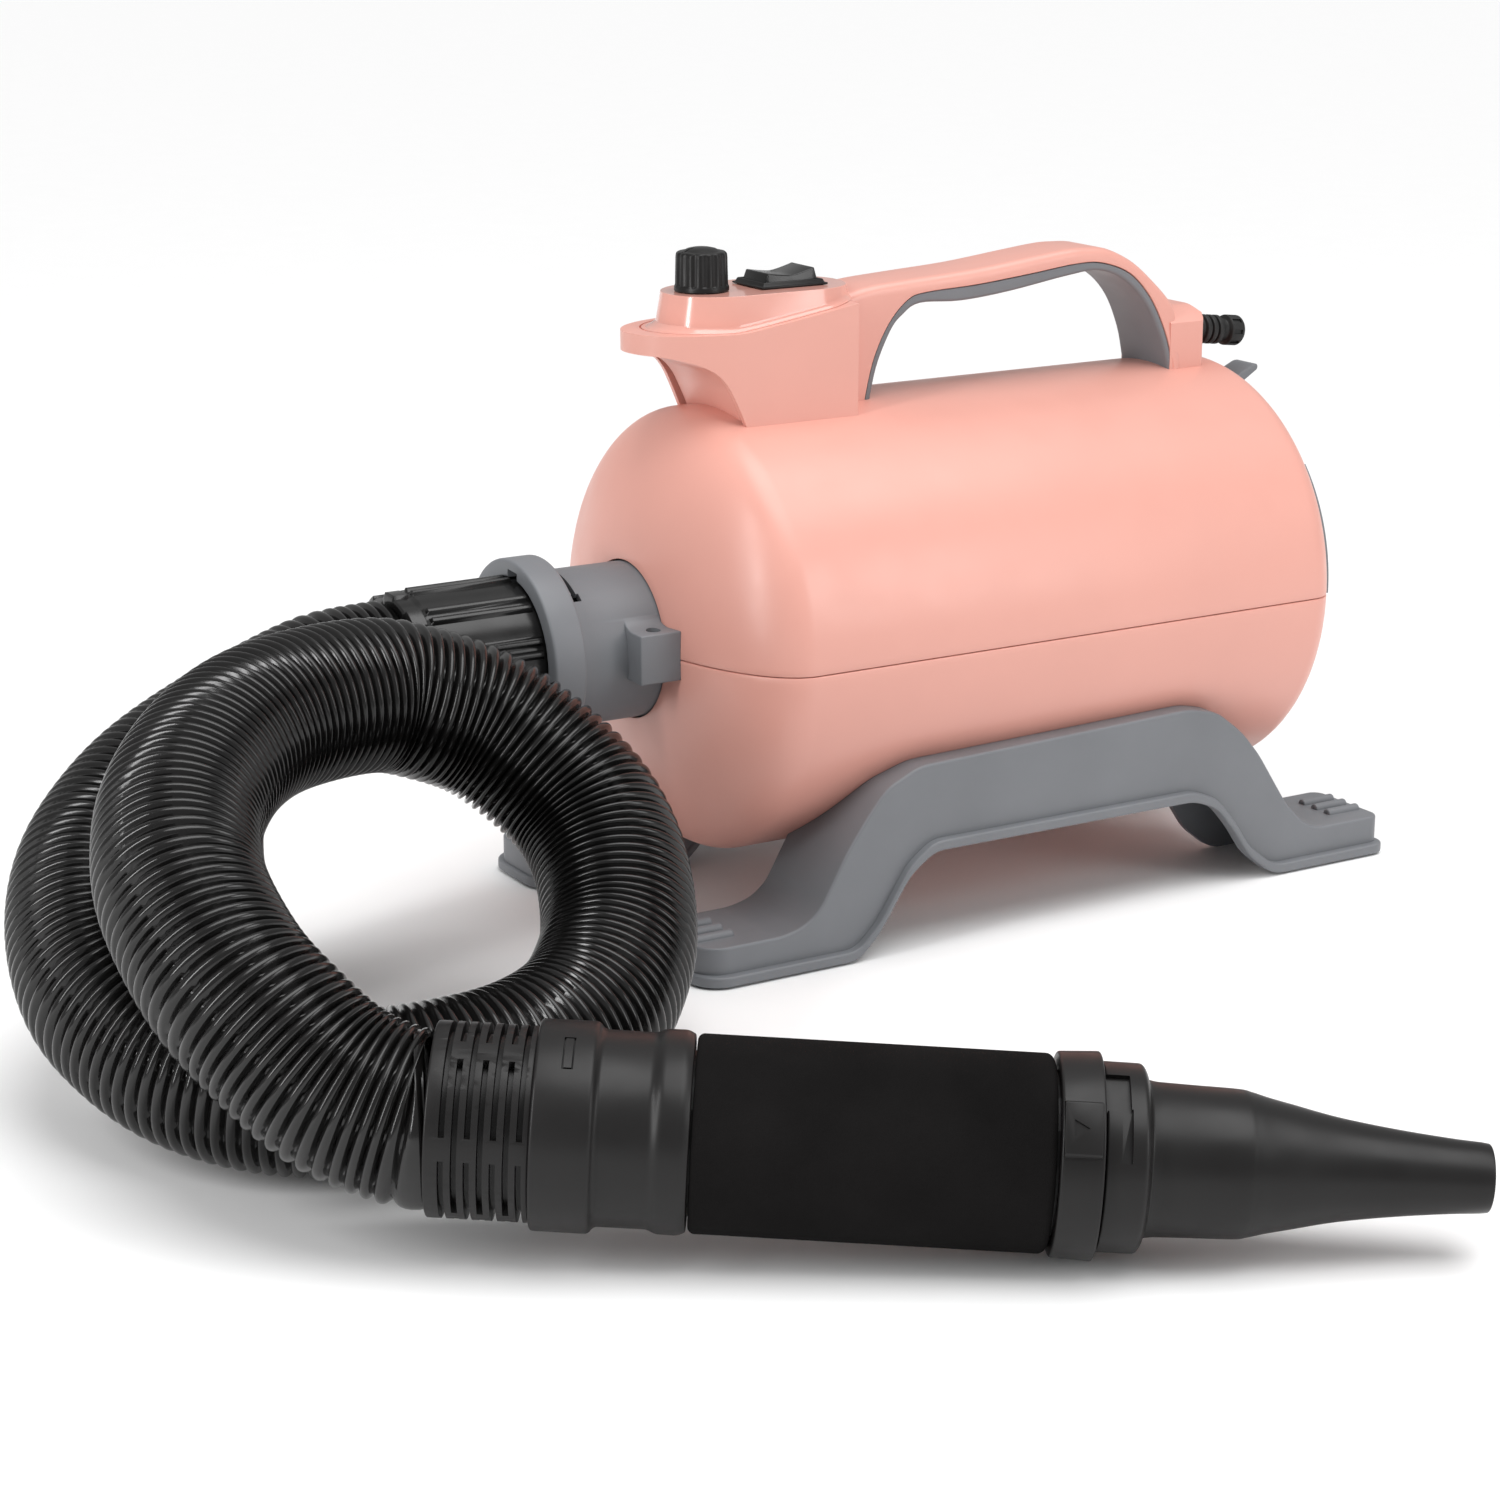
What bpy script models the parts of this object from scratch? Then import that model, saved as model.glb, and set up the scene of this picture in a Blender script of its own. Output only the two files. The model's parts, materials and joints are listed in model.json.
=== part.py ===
"""Pet dryer: a horizontal blower in a two-part shell on two skids, with a hose and a hand wand.

The dryer's own frame has X along the blower (the outlet is at -X), Y across it and Z up from the floor.
A root empty moves that frame so that the part's origin is under the middle of everything but the hose.
"""
import math

import bmesh
import bpy
from mathutils import Matrix, Vector

# ---------------------------------------------------------------- driving dimensions, metres and degrees
ORIGIN = (0.1075, 0.1789, 0.0)     # where the dryer's own frame lies in the part's frame
GAP = 0.0003                       # clearance between pieces that touch
FACETS = 28                        # sides of a large round piece
SMALL_FACETS = 12                  # sides of a small round piece

BODY_R = 0.0953                    # blower shell
BODY_Z = 0.1255
WALL = 0.0028
DOME_X = -0.126                    # where the straight part ends at the front
DOME_DEPTH = 0.0395
TAIL_X = 0.135                     # and at the rear
TAIL_DEPTH = 0.030
TAIL_END_R = 0.0859
OUTLET_R = 0.0337                  # hole in the front dome

SCREW_X = (-0.070, 0.070)          # screws through skid, lower shell and upper shell
SCREW_Y = 0.0765
SCREW_BOSS_Z = 0.052               # underside of the boss each screw's head bears on
SCREW_TOP = 0.022                  # how far above the seam a screw ends

SKID_END = 0.180                   # half the length of a skid
SKID_IN = 0.050                    # |Y| of a skid's inner and outer wall
SKID_OUT = 0.095
SKID_LIP = 0.0988
LIP_HEIGHT = 0.0045
SKID_WALL = 0.003
FRONT_TOE_R = 0.012                # corners of a skid's ends, seen from above
REAR_TOE_R = 0.006
PAD_X = 0.163

POD_HALF = 0.029                   # half width of the control pod
POD_REAR = -0.0655
POD_TIP = -0.1610
SHOULDER_X = -0.1180               # where the bow of the pod, and of the panel on it, begins
BRIM_FRONT_Z = 0.2555              # the brim is level over the bow and rises from the shoulder
BRIM_REAR_Z = 0.2648
PANEL_Z = 0.2700                   # flat top of the raised control panel
PANEL_FOOT = (0.0235, -0.1480)     # half width and front tip of the panel at its foot
PANEL_TOP = (0.0220, -0.1410)      # and along its top edge
PANEL_ROUND_X = -0.0800            # middle of the panel's half round rear end
KNOB_X = -0.1250
KNOB_R = 0.0112
KNOB_HEIGHT = 0.0188
SWITCH_X = -0.0868
SWITCH_SIZE = (0.0325, 0.0250)
ROCKER_SIZE = (0.0260, 0.0200)
ROCKER_ENDS = (0.0055, 0.0068)     # height of the rocker's front and rear ends above its pivot

HANDLE_HALF = 0.0155
REAR_LEG_HALF = 0.0190             # the handle widens to this at its rear foot
BLOCK_X = (0.1146, 0.1310)
BLOCK_HALF = 0.0180
BLOCK_TOP_Z = 0.2470
GLAND_AXIS_Z = 0.2338
GLAND_DROOP = 6.5

MOTOR_STACK = (-0.012, 0.030)      # laminations, along X
STATOR_R = 0.046
ARMATURE_R = 0.0257
SLOTS = 8                          # in the armature
SHAFT_R = 0.004
FAN_CAN = (0.058, 0.104)
FAN_CAN_R = 0.066
IMPELLER_R = 0.060

RING_X = (-0.217, -0.2025)         # flange ring of the outlet collar
RING_R = 0.0404
RING_BORE = 0.0328                 # wide mouth that takes the cuff's body
RING_BORE_X = -0.2045
COLLAR_R = 0.0332
COLLAR_BORE = 0.0304
LUG_X = (-0.1797, -0.1605)         # screw lug on the collar's near side
LUG_FACE_Y = 0.0440
LUG_Z = (-0.0085, 0.0125)
LUG_FILLET = 0.0100
CUFF_R = 0.0322
CUFF_RIB_R = 0.0340
CUFF_END = -0.272

HOSE_R = 0.030
HOSE_POINT_GAP = 0.038

WAND_TAIL = (-0.3800, -0.2606, 0.0470)
WAND_PLAN_ANGLE = -32.08           # direction of the wand in plan, and how far its nose dips
WAND_DIP = 3.01

# Route of the free hose, from the cuff to the wand: two loops, the second leaning on the first.
HOSE_ROUTE = [
    (-0.2725, 0.000, 0.1255), (-0.290, 0.000, 0.1250), (-0.307, -0.001, 0.123), (-0.342, -0.008, 0.113),
    (-0.378, -0.020, 0.101), (-0.402, -0.035, 0.090), (-0.420, -0.053, 0.079), (-0.432, -0.077, 0.067),
    (-0.437, -0.102, 0.055), (-0.435, -0.123, 0.047), (-0.425, -0.149, 0.038), (-0.407, -0.172, 0.033),
    (-0.382, -0.189, 0.031), (-0.352, -0.198, 0.031), (-0.315, -0.197, 0.032), (-0.281, -0.182, 0.036),
    (-0.258, -0.161, 0.045), (-0.245, -0.143, 0.055), (-0.235, -0.116, 0.074), (-0.239, -0.093, 0.094),
    (-0.262, -0.071, 0.118), (-0.288, -0.063, 0.130), (-0.311, -0.062, 0.136), (-0.354, -0.075, 0.137),
    (-0.385, -0.095, 0.132), (-0.409, -0.122, 0.123), (-0.421, -0.145, 0.114), (-0.428, -0.169, 0.104),
    (-0.427, -0.199, 0.087), (-0.420, -0.218, 0.074), (-0.405, -0.240, 0.056), (-0.3868, -0.2564, 0.0474),
    (-0.3803, -0.2604, 0.0470),
]

# Side outline of the handle, X and Z: its top line, the joint between bow and grip, and the grip's free face.
HANDLE_TOP = [(-0.0652, 0.2650), (-0.0499, 0.2681), (-0.0261, 0.2698), (0.0052, 0.2717), (0.0370, 0.2751),
              (0.0520, 0.2766), (0.0614, 0.2768), (0.0747, 0.2754), (0.0900, 0.2682), (0.1040, 0.2565),
              (0.1118, 0.2476), (0.1140, 0.2395)]
HANDLE_JOINT = [(0.1105, 0.2205), (0.1062, 0.2362), (0.0983, 0.2522), (0.0869, 0.2638), (0.0711, 0.2697),
                (0.0563, 0.2702), (0.0327, 0.2677), (0.0036, 0.2650), (-0.0220, 0.2637), (-0.0318, 0.2612),
                (-0.0416, 0.2515), (-0.0496, 0.2356), (-0.0549, 0.2135)]
HANDLE_OPEN = [(0.1078, 0.2205), (0.1036, 0.2345), (0.0955, 0.2500), (0.0842, 0.2608), (0.0700, 0.2662),
               (0.0532, 0.2651), (0.0212, 0.2605), (-0.0036, 0.2584), (-0.0249, 0.2590), (-0.0340, 0.2545),
               (-0.0400, 0.2480), (-0.0470, 0.2330), (-0.0515, 0.2135)]

# Outer outline of a skid, X and Z, from its front toe to its rear toe: upper and lower edge.
SKID_TOP = [(-0.180, 0.0170), (-0.1408, 0.0170), (-0.1319, 0.0195), (-0.1245, 0.0249), (-0.1112, 0.0479),
            (-0.1008, 0.0622), (-0.0919, 0.0727), (-0.0753, 0.0801), (0.0664, 0.0843), (0.0819, 0.0806),
            (0.0960, 0.0698), (0.1064, 0.0579), (0.1237, 0.0318), (0.1344, 0.0212), (0.1427, 0.0178),
            (0.180, 0.0178)]
SKID_BASE = 0.0008                 # a skid's underside, just clear of the floor on its pads
SKID_LOW = [(-0.180, SKID_BASE), (-0.1075, SKID_BASE), (-0.0970, 0.0107), (-0.0817, 0.0339),
            (-0.0697, 0.0425), (0.0680, 0.0425), (0.0809, 0.0374), (0.0912, 0.0253), (0.0998, 0.0125),
            (0.1120, 0.0030), (0.1180, SKID_BASE), (0.180, SKID_BASE)]

COLOURS = {                        # base colour, metallic, roughness
    "pink_shell": ((0.86, 0.395, 0.32), 0.0, 0.33),
    "grey_trim": ((0.18, 0.187, 0.202), 0.0, 0.45),
    "black_plastic": ((0.012, 0.012, 0.013), 0.0, 0.38),
    "black_hose": ((0.010, 0.010, 0.010), 0.0, 0.28),
    "foam": ((0.016, 0.015, 0.015), 0.0, 0.95),
    "rubber": ((0.02, 0.02, 0.02), 0.0, 0.8),
    "filter_foam": ((0.05, 0.05, 0.055), 0.0, 0.95),
    "steel": ((0.55, 0.56, 0.58), 1.0, 0.35),
    "zinc": ((0.62, 0.63, 0.66), 1.0, 0.45),
    "aluminium": ((0.72, 0.73, 0.74), 1.0, 0.4),
    "copper": ((0.72, 0.33, 0.16), 1.0, 0.4),
    "carbon": ((0.03, 0.03, 0.032), 0.0, 0.7),
    "mica": ((0.55, 0.47, 0.33), 0.0, 0.6),
    "circuit_board": ((0.02, 0.16, 0.07), 0.0, 0.5),
}


# ---------------------------------------------------------------- scene and material helpers
def clear_scene():
    for old in list(bpy.data.objects):
        bpy.data.objects.remove(old, do_unlink=True)


def make_material(name):
    colour, metallic, roughness = COLOURS[name]
    material = bpy.data.materials.new(name)
    material.use_nodes = True
    shader = material.node_tree.nodes["Principled BSDF"]
    shader.inputs["Base Color"].default_value = (*colour, 1.0)
    shader.inputs["Metallic"].default_value = metallic
    shader.inputs["Roughness"].default_value = roughness
    material.diffuse_color = (*colour, 1.0)
    return material


def add_object(name, mesh, colour, parent, smooth=True):
    piece = bpy.data.objects.new(name, mesh)
    bpy.context.scene.collection.objects.link(piece)
    piece.parent = parent
    if colour:
        piece.data.materials.append(materials[colour])
    if smooth and piece.type == "MESH":
        mesh.shade_smooth()
        mesh.set_sharp_from_angle(angle=math.radians(35))
    return piece


def empty(name, parent, location=(0, 0, 0), rotation=(0, 0, 0)):
    pivot = bpy.data.objects.new(name, None)
    bpy.context.scene.collection.objects.link(pivot)
    pivot.parent = parent
    pivot.location = location
    pivot.rotation_euler = rotation
    return pivot


def finish(bm, name):
    bmesh.ops.recalc_face_normals(bm, faces=bm.faces)
    mesh = bpy.data.meshes.new(name)
    bm.to_mesh(mesh)
    bm.free()
    return mesh


# ---------------------------------------------------------------- shape helpers
def axis_matrix(axis):
    """Turn a shape built along +Z so that it runs along X, Y or Z."""
    if axis == "X":
        return Matrix(((0, 0, 1), (1, 0, 0), (0, 1, 0))).to_4x4()
    if axis == "Y":
        return Matrix(((0, 1, 0), (0, 0, 1), (1, 0, 0))).to_4x4()
    return Matrix.Identity(4)


def turned_bmesh(outline, facets, axis="X", start=0.0, sweep=360.0, bm=None):
    """Turn a closed outline of (distance along the axis, radius) points; a sweep under 360 gets end caps."""
    bm = bm or bmesh.new()
    whole = abs(sweep - 360.0) < 1e-6
    rings = facets if whole else facets + 1
    turn = axis_matrix(axis)
    loops = []
    poles = {}
    for step in range(rings):
        angle = math.radians(start + sweep * step / facets)
        loop = []
        for index, (along, radius) in enumerate(outline):
            if radius < 1e-7:
                if index not in poles:
                    poles[index] = bm.verts.new(turn @ Vector((0, 0, along)))
                loop.append(poles[index])
            else:
                point = Vector((radius * math.cos(angle), radius * math.sin(angle), along))
                loop.append(bm.verts.new(turn @ point))
        loops.append(loop)
    count = len(outline)
    for step in range(facets):
        here, there = loops[step], loops[(step + 1) % rings]
        for index in range(count):
            after = (index + 1) % count
            corners = []
            for vert in (here[index], here[after], there[after], there[index]):
                if vert not in corners:
                    corners.append(vert)
            if len(corners) > 2:
                bm.faces.new(corners)
    if not whole:
        bm.faces.new(loops[0])
        bm.faces.new(list(reversed(loops[-1])))
    return bm


def turned(name, outline, colour, parent, facets=FACETS, axis="X", **angles):
    return add_object(name, finish(turned_bmesh(outline, facets, axis, **angles), name), colour, parent)


def tube_outline(along, inner, outer):
    return [(along[0], inner), (along[0], outer), (along[1], outer), (along[1], inner)]


def disc_outline(along, radius):
    return [(along[0], 0.0), (along[0], radius), (along[1], radius), (along[1], 0.0)]


def prism_bmesh(outline, low, high, plane="XZ", bm=None):
    """Extrude a closed outline across its plane, from low to high."""
    bm = bm or bmesh.new()
    order = {"XZ": (0, 2, 1), "XY": (0, 1, 2), "YZ": (2, 0, 1)}[plane]
    ends = []
    for level in (low, high):
        points = [(u, v, level) for u, v in outline]
        ends.append([bm.verts.new([point[place] for place in order]) for point in points])
    near, far = ends
    bm.faces.new(near)
    bm.faces.new(list(reversed(far)))
    count = len(outline)
    for index in range(count):
        after = (index + 1) % count
        bm.faces.new((near[index], far[index], far[after], near[after]))
    return bm


def prism(name, outline, low, high, colour, parent, plane="XZ"):
    return add_object(name, finish(prism_bmesh(outline, low, high, plane), name), colour, parent)


def rectangle(low, high):
    return [(low[0], low[1]), (high[0], low[1]), (high[0], high[1]), (low[0], high[1])]


def box_bmesh(low, high, bm=None):
    return prism_bmesh(rectangle(low[:2], high[:2]), low[2], high[2], "XY", bm)


def box(name, low, high, colour, parent):
    return add_object(name, finish(box_bmesh(low, high), name), colour, parent)


def arc_points(centre, radius, first, last, steps):
    """Points along an arc, from one angle to another, in degrees."""
    points = []
    for step in range(steps + 1):
        angle = math.radians(first + (last - first) * step / steps)
        points.append((centre[0] + radius * math.cos(angle), centre[1] + radius * math.sin(angle)))
    return points


def star_outline(arms, inner, outer, half_width):
    """A wheel's spokes as one outline: arms of even width around a hub."""
    points = []
    for arm in range(arms):
        middle = 2 * math.pi * arm / arms
        along = Vector((math.cos(middle), math.sin(middle)))
        across = Vector((-along.y, along.x))
        for reach, side in ((inner, -1), (outer, -1), (outer, 1), (inner, 1)):
            point = along * reach + across * half_width * side
            points.append((point.x, point.y + BODY_Z))
    return points


def cutter(name, mesh, parent):
    tool = add_object(name, mesh, None, parent, smooth=False)
    tool.hide_render = True
    tool.display_type = "WIRE"
    return tool


def boolean(piece, tool, operation="DIFFERENCE", self_overlap=False):
    modifier = piece.modifiers.new(operation.lower(), "BOOLEAN")
    modifier.operation = operation
    modifier.solver = "EXACT"
    modifier.use_self = self_overlap
    modifier.object = tool
    return modifier


def add_copy(target, new, matrix=None):
    """Add the solid `new` to `target`, moved by the matrix."""
    if matrix:
        bmesh.ops.transform(new, matrix=matrix, verts=new.verts)
    mesh = finish(new, "copy")
    target.from_mesh(mesh)
    bpy.data.meshes.remove(mesh)


def round_ends(bm, end, front_radius, rear_radius, segments=3):
    """Round the upright edges that lie at X = -end and X = end."""
    for side, radius in ((-1, front_radius), (1, rear_radius)):
        chosen = []
        for edge in bm.edges:
            first, second = (vert.co for vert in edge.verts)
            upright = abs(first.x - second.x) < 1e-6 and abs(first.y - second.y) < 1e-6
            if upright and abs(first.x - side * end) < 1e-6:
                chosen.append(edge)
        bmesh.ops.bevel(bm, geom=chosen, offset=radius, segments=segments, profile=0.5, affect="EDGES")


def smooth_route(route, spacing):
    """Points about `spacing` apart along a Catmull-Rom curve through the route's own points."""
    points = [Vector(point) for point in route]
    padded = [2 * points[0] - points[1]] + points + [2 * points[-1] - points[-2]]
    fine = []
    for index in range(1, len(padded) - 2):
        before, first, second, after = padded[index - 1:index + 3]
        for step in range(16):
            t = step / 16
            fine.append(0.5 * (2 * first + (second - before) * t
                               + (2 * before - 5 * first + 4 * second - after) * t ** 2
                               + (3 * first - before - 3 * second + after) * t ** 3))
    fine.append(points[-1])
    lengths = [0.0]
    for first, second in zip(fine, fine[1:]):
        lengths.append(lengths[-1] + (second - first).length)
    spans = max(2, round(lengths[-1] / spacing))
    chosen = []
    index = 0
    for step in range(spans + 1):
        target = lengths[-1] * step / spans
        while index < len(lengths) - 2 and lengths[index + 1] < target:
            index += 1
        part = (target - lengths[index]) / (lengths[index + 1] - lengths[index])
        chosen.append(fine[index].lerp(fine[index + 1], min(part, 1.0)))
    return chosen


def tube(name, points, radius, colour, parent, resolution=2):
    curve = bpy.data.curves.new(name, "CURVE")
    curve.dimensions = "3D"
    curve.bevel_depth = radius
    curve.bevel_resolution = resolution
    curve.use_fill_caps = True
    spline = curve.splines.new("POLY")
    spline.points.add(len(points) - 1)
    for target, point in zip(spline.points, points):
        target.co = (*point, 1.0)
    return add_object(name, curve, colour, parent)


# ---------------------------------------------------------------- blower shell
def shell_outline(inset=0.0, steps=5):
    """Outer side of the shell from the outlet hole to the rear edge, or a line `inset` inside it."""
    radius, nose, tail = BODY_R - inset, DOME_DEPTH - inset, TAIL_DEPTH - inset
    first = math.asin(OUTLET_R / radius)
    points = []
    for step in range(steps + 1):
        angle = first + (math.pi / 2 - first) * step / steps
        points.append((DOME_X - nose * math.cos(angle), radius * math.sin(angle)))
    tail_end_x = TAIL_X + TAIL_DEPTH * math.sqrt(1 - (TAIL_END_R / BODY_R) ** 2)
    last = math.asin((tail_end_x - TAIL_X) / tail)
    for step in range(3):
        angle = last * step / 2
        points.append((TAIL_X + tail * math.sin(angle), radius * math.cos(angle)))
    return points


def body_centre(parent):
    return empty("body_axis", parent, (0, 0, BODY_Z))


def build_shells(axis):
    outer, inner = shell_outline(), shell_outline(WALL)
    section = outer + list(reversed(inner))
    halves = {}
    for name, start, side in (("upper_shell", 0, 1), ("lower_shell", 180, -1)):
        shell = turned(name, section, "pink_shell", axis, FACETS // 2, start=start, sweep=180)
        shell.location.z = side * GAP / 2
        posts = bmesh.new()
        for x in SCREW_X:
            for y in (-SCREW_Y, SCREW_Y):
                ends = sorted((0.0, side * 0.070))
                place = Matrix.Translation((x, y, 0))
                add_copy(posts, turned_bmesh(disc_outline(ends, 0.0055), 10, "Z"), place)
        post_tool = cutter(name + "_posts", finish(posts, "posts"), shell)
        within = turned_bmesh(disc_outline((-0.13, 0.13), BODY_R - WALL / 2), FACETS, "X")
        boolean(post_tool, cutter(name + "_post_ends", finish(within, "post_ends"), shell), "INTERSECT")
        boolean(shell, post_tool, "UNION")
        boolean(shell, screw_holes(name + "_screw_holes", axis))
        halves[name] = shell
    passage = bmesh.new()
    for x, y, radius in ((-0.098, 0.0, 0.010), (0.1235, 0.0, 0.005)):
        new = turned_bmesh(disc_outline((0.05, 0.12), radius), 10, "Z")
        add_copy(passage, new, Matrix.Translation((x, y, 0)))
    boolean(halves["upper_shell"], cutter("lead_passages", finish(passage, "lead_passages"), axis))
    return halves


def screw_holes(name, axis):
    """The four upright holes for the screws that clamp skids, lower shell and upper shell."""
    holes = bmesh.new()
    for x in SCREW_X:
        for y in (-SCREW_Y, SCREW_Y):
            place = Matrix.Translation((x, y, 0))
            add_copy(holes, turned_bmesh(disc_outline((-0.090, SCREW_TOP + 0.002), 0.0021), 8, "Z"), place)
    return cutter(name, finish(holes, name), axis)


def body_cutter(parent, name, grow):
    """The shell's solid outline grown by `grow`: what a piece seated on the shell is cut with."""
    outline = [(x, r) for x, r in shell_outline(-grow)]
    outline = [(outline[0][0], 0.0)] + outline + [(outline[-1][0], 0.0)]
    return cutter(name, finish(turned_bmesh(outline, FACETS, "X"), name), parent)


def barrel(axis, name, radius):
    """A straight cylinder along the blower: what the skids' saddles are cut with."""
    return cutter(name, finish(turned_bmesh(disc_outline((-0.2, 0.2), radius), FACETS, "X"), name), axis)


def build_screws(axis):
    """Long screws: a head under the skid's boss, a shank up through both shells' posts."""
    seat = SCREW_BOSS_Z - GAP - BODY_Z
    outline = [(seat - 0.0026, 0.0), (seat - 0.0026, 0.0036), (seat, 0.0036), (seat, 0.0018),
               (SCREW_TOP, 0.0018), (SCREW_TOP, 0.0)]
    for place, x in zip(("front", "rear"), SCREW_X):
        for hand, side in (("right", -1), ("left", 1)):
            screw = turned(f"body_screw_{place}_{hand}", outline, "zinc", axis, 8, "Z")
            screw.location = (x, side * SCREW_Y, 0)


# ---------------------------------------------------------------- outlet collar, cuff and hose
def lug_outline():
    """The screw lug across the collar, Y and Z: a block whose top sweeps up into the tube by a fillet."""
    reach = COLLAR_R + LUG_FILLET
    centre = (-math.sqrt(reach ** 2 - (LUG_Z[1] + LUG_FILLET) ** 2), LUG_Z[1] + LUG_FILLET)
    to_axis = math.degrees(math.atan2(-centre[1], -centre[0]))
    points = [(-LUG_FACE_Y, LUG_Z[0]), (-LUG_FACE_Y, LUG_Z[1])]
    points += arc_points(centre, LUG_FILLET, -90, to_axis, 4)
    within = (COLLAR_R + COLLAR_BORE) / 2
    low = math.degrees(math.asin(LUG_Z[0] / within))
    return points + arc_points((0, 0), within, 180 + to_axis, 180 - low, 5)


def build_outlet(axis):
    flange_x = DOME_X - DOME_DEPTH + WALL + 0.0052
    outline = [(RING_X[0], RING_BORE), (RING_X[0], RING_R - 0.001), (RING_X[0] + 0.001, RING_R),
               (RING_X[1], RING_R), (RING_X[1], COLLAR_R), (flange_x, COLLAR_R),
               (flange_x, COLLAR_R + 0.0052), (flange_x + 0.0025, COLLAR_R + 0.0052),
               (flange_x + 0.0025, COLLAR_BORE), (RING_BORE_X, COLLAR_BORE), (RING_BORE_X, RING_BORE)]
    collar = turned("outlet_collar", outline, "grey_trim", axis)
    lug = prism_bmesh(lug_outline(), LUG_X[0], LUG_X[1], "YZ")
    boolean(collar, cutter("collar_lug", finish(lug, "collar_lug"), axis), "UNION")
    boolean(collar, cutter_from_shell(axis, "collar_seat"))
    tools = bmesh.new()
    notch_x = RING_X[0] - 0.001
    box_bmesh((notch_x, -0.0035, RING_BORE - 0.002), (notch_x + 0.007, 0.0035, RING_BORE + 0.003), tools)
    slot_x = RING_X[1] + 0.004
    slot = turned_bmesh(tube_outline((slot_x, slot_x + 0.002), COLLAR_BORE - 0.001, COLLAR_R + 0.002), 8, "X",
                        start=95, sweep=40)
    hole = turned_bmesh(disc_outline((LUG_Z[0] - 0.003, LUG_Z[1] + 0.003), 0.0030), 10, "Z")
    bmesh.ops.transform(hole, matrix=Matrix.Translation((-0.1700, -0.0370, 0)), verts=hole.verts)
    for new in (slot, hole):
        add_copy(tools, new)
    boolean(collar, cutter("collar_cuts", finish(tools, "collar_cuts"), axis))
    return collar


def cutter_from_shell(axis, name):
    """A hollow copy of the dome, so that only the wall's own place is cut away."""
    outer, inner = shell_outline(-GAP), shell_outline(WALL + GAP)
    outer[0] = (outer[0][0] - 0.0002, COLLAR_R + GAP)
    inner[0] = (inner[0][0] - 0.0002, COLLAR_R + GAP)
    section = outer + list(reversed(inner))
    return cutter(name, finish(turned_bmesh(section, FACETS, "X"), name), axis)


def build_cuff(axis):
    """Hose cuff: a spigot inside the collar, a body that sits in the ring's mouth, and a ridged grip."""
    pivot = empty("cuff_pivot", axis)
    spigot, nose, bore = COLLAR_BORE - 0.0005, 0.0312, 0.0262
    shoulder = RING_BORE_X - 0.0005
    outline = [(-0.170, bore), (-0.170, spigot), (shoulder, spigot), (shoulder, CUFF_R),
               (-0.2635, CUFF_R), (-0.2635, nose), (CUFF_END, nose), (CUFF_END, bore)]
    cuff = turned("hose_cuff", outline, "black_plastic", pivot)
    ribs = bmesh.new()
    for rib in range(8):
        bar = box_bmesh((-0.2620, -0.0030, 0.0290), (RING_X[0] - 0.0015, 0.0030, CUFF_RIB_R))
        add_copy(ribs, bar, Matrix.Rotation(math.radians(45 * rib + 12), 4, "X"))
    boolean(cuff, cutter("cuff_ribs", finish(ribs, "cuff_ribs"), pivot), "UNION")
    return cuff


def build_hose(dryer):
    points = smooth_route(HOSE_ROUTE, HOSE_POINT_GAP)
    plan, dip = math.radians(WAND_PLAN_ANGLE), math.radians(WAND_DIP)
    along = Vector((math.cos(dip) * math.cos(plan), math.cos(dip) * math.sin(plan), -math.sin(dip)))
    tail = Vector(WAND_TAIL)
    start = Vector((CUFF_END - GAP, 0, BODY_Z))
    points[0] = start
    points.insert(1, start - Vector((0.004, 0, 0)))
    points[-1] = tail - 0.004 * along
    points.append(tail)
    return tube("hose", points, HOSE_R, "black_hose", dryer, resolution=3)


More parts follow.
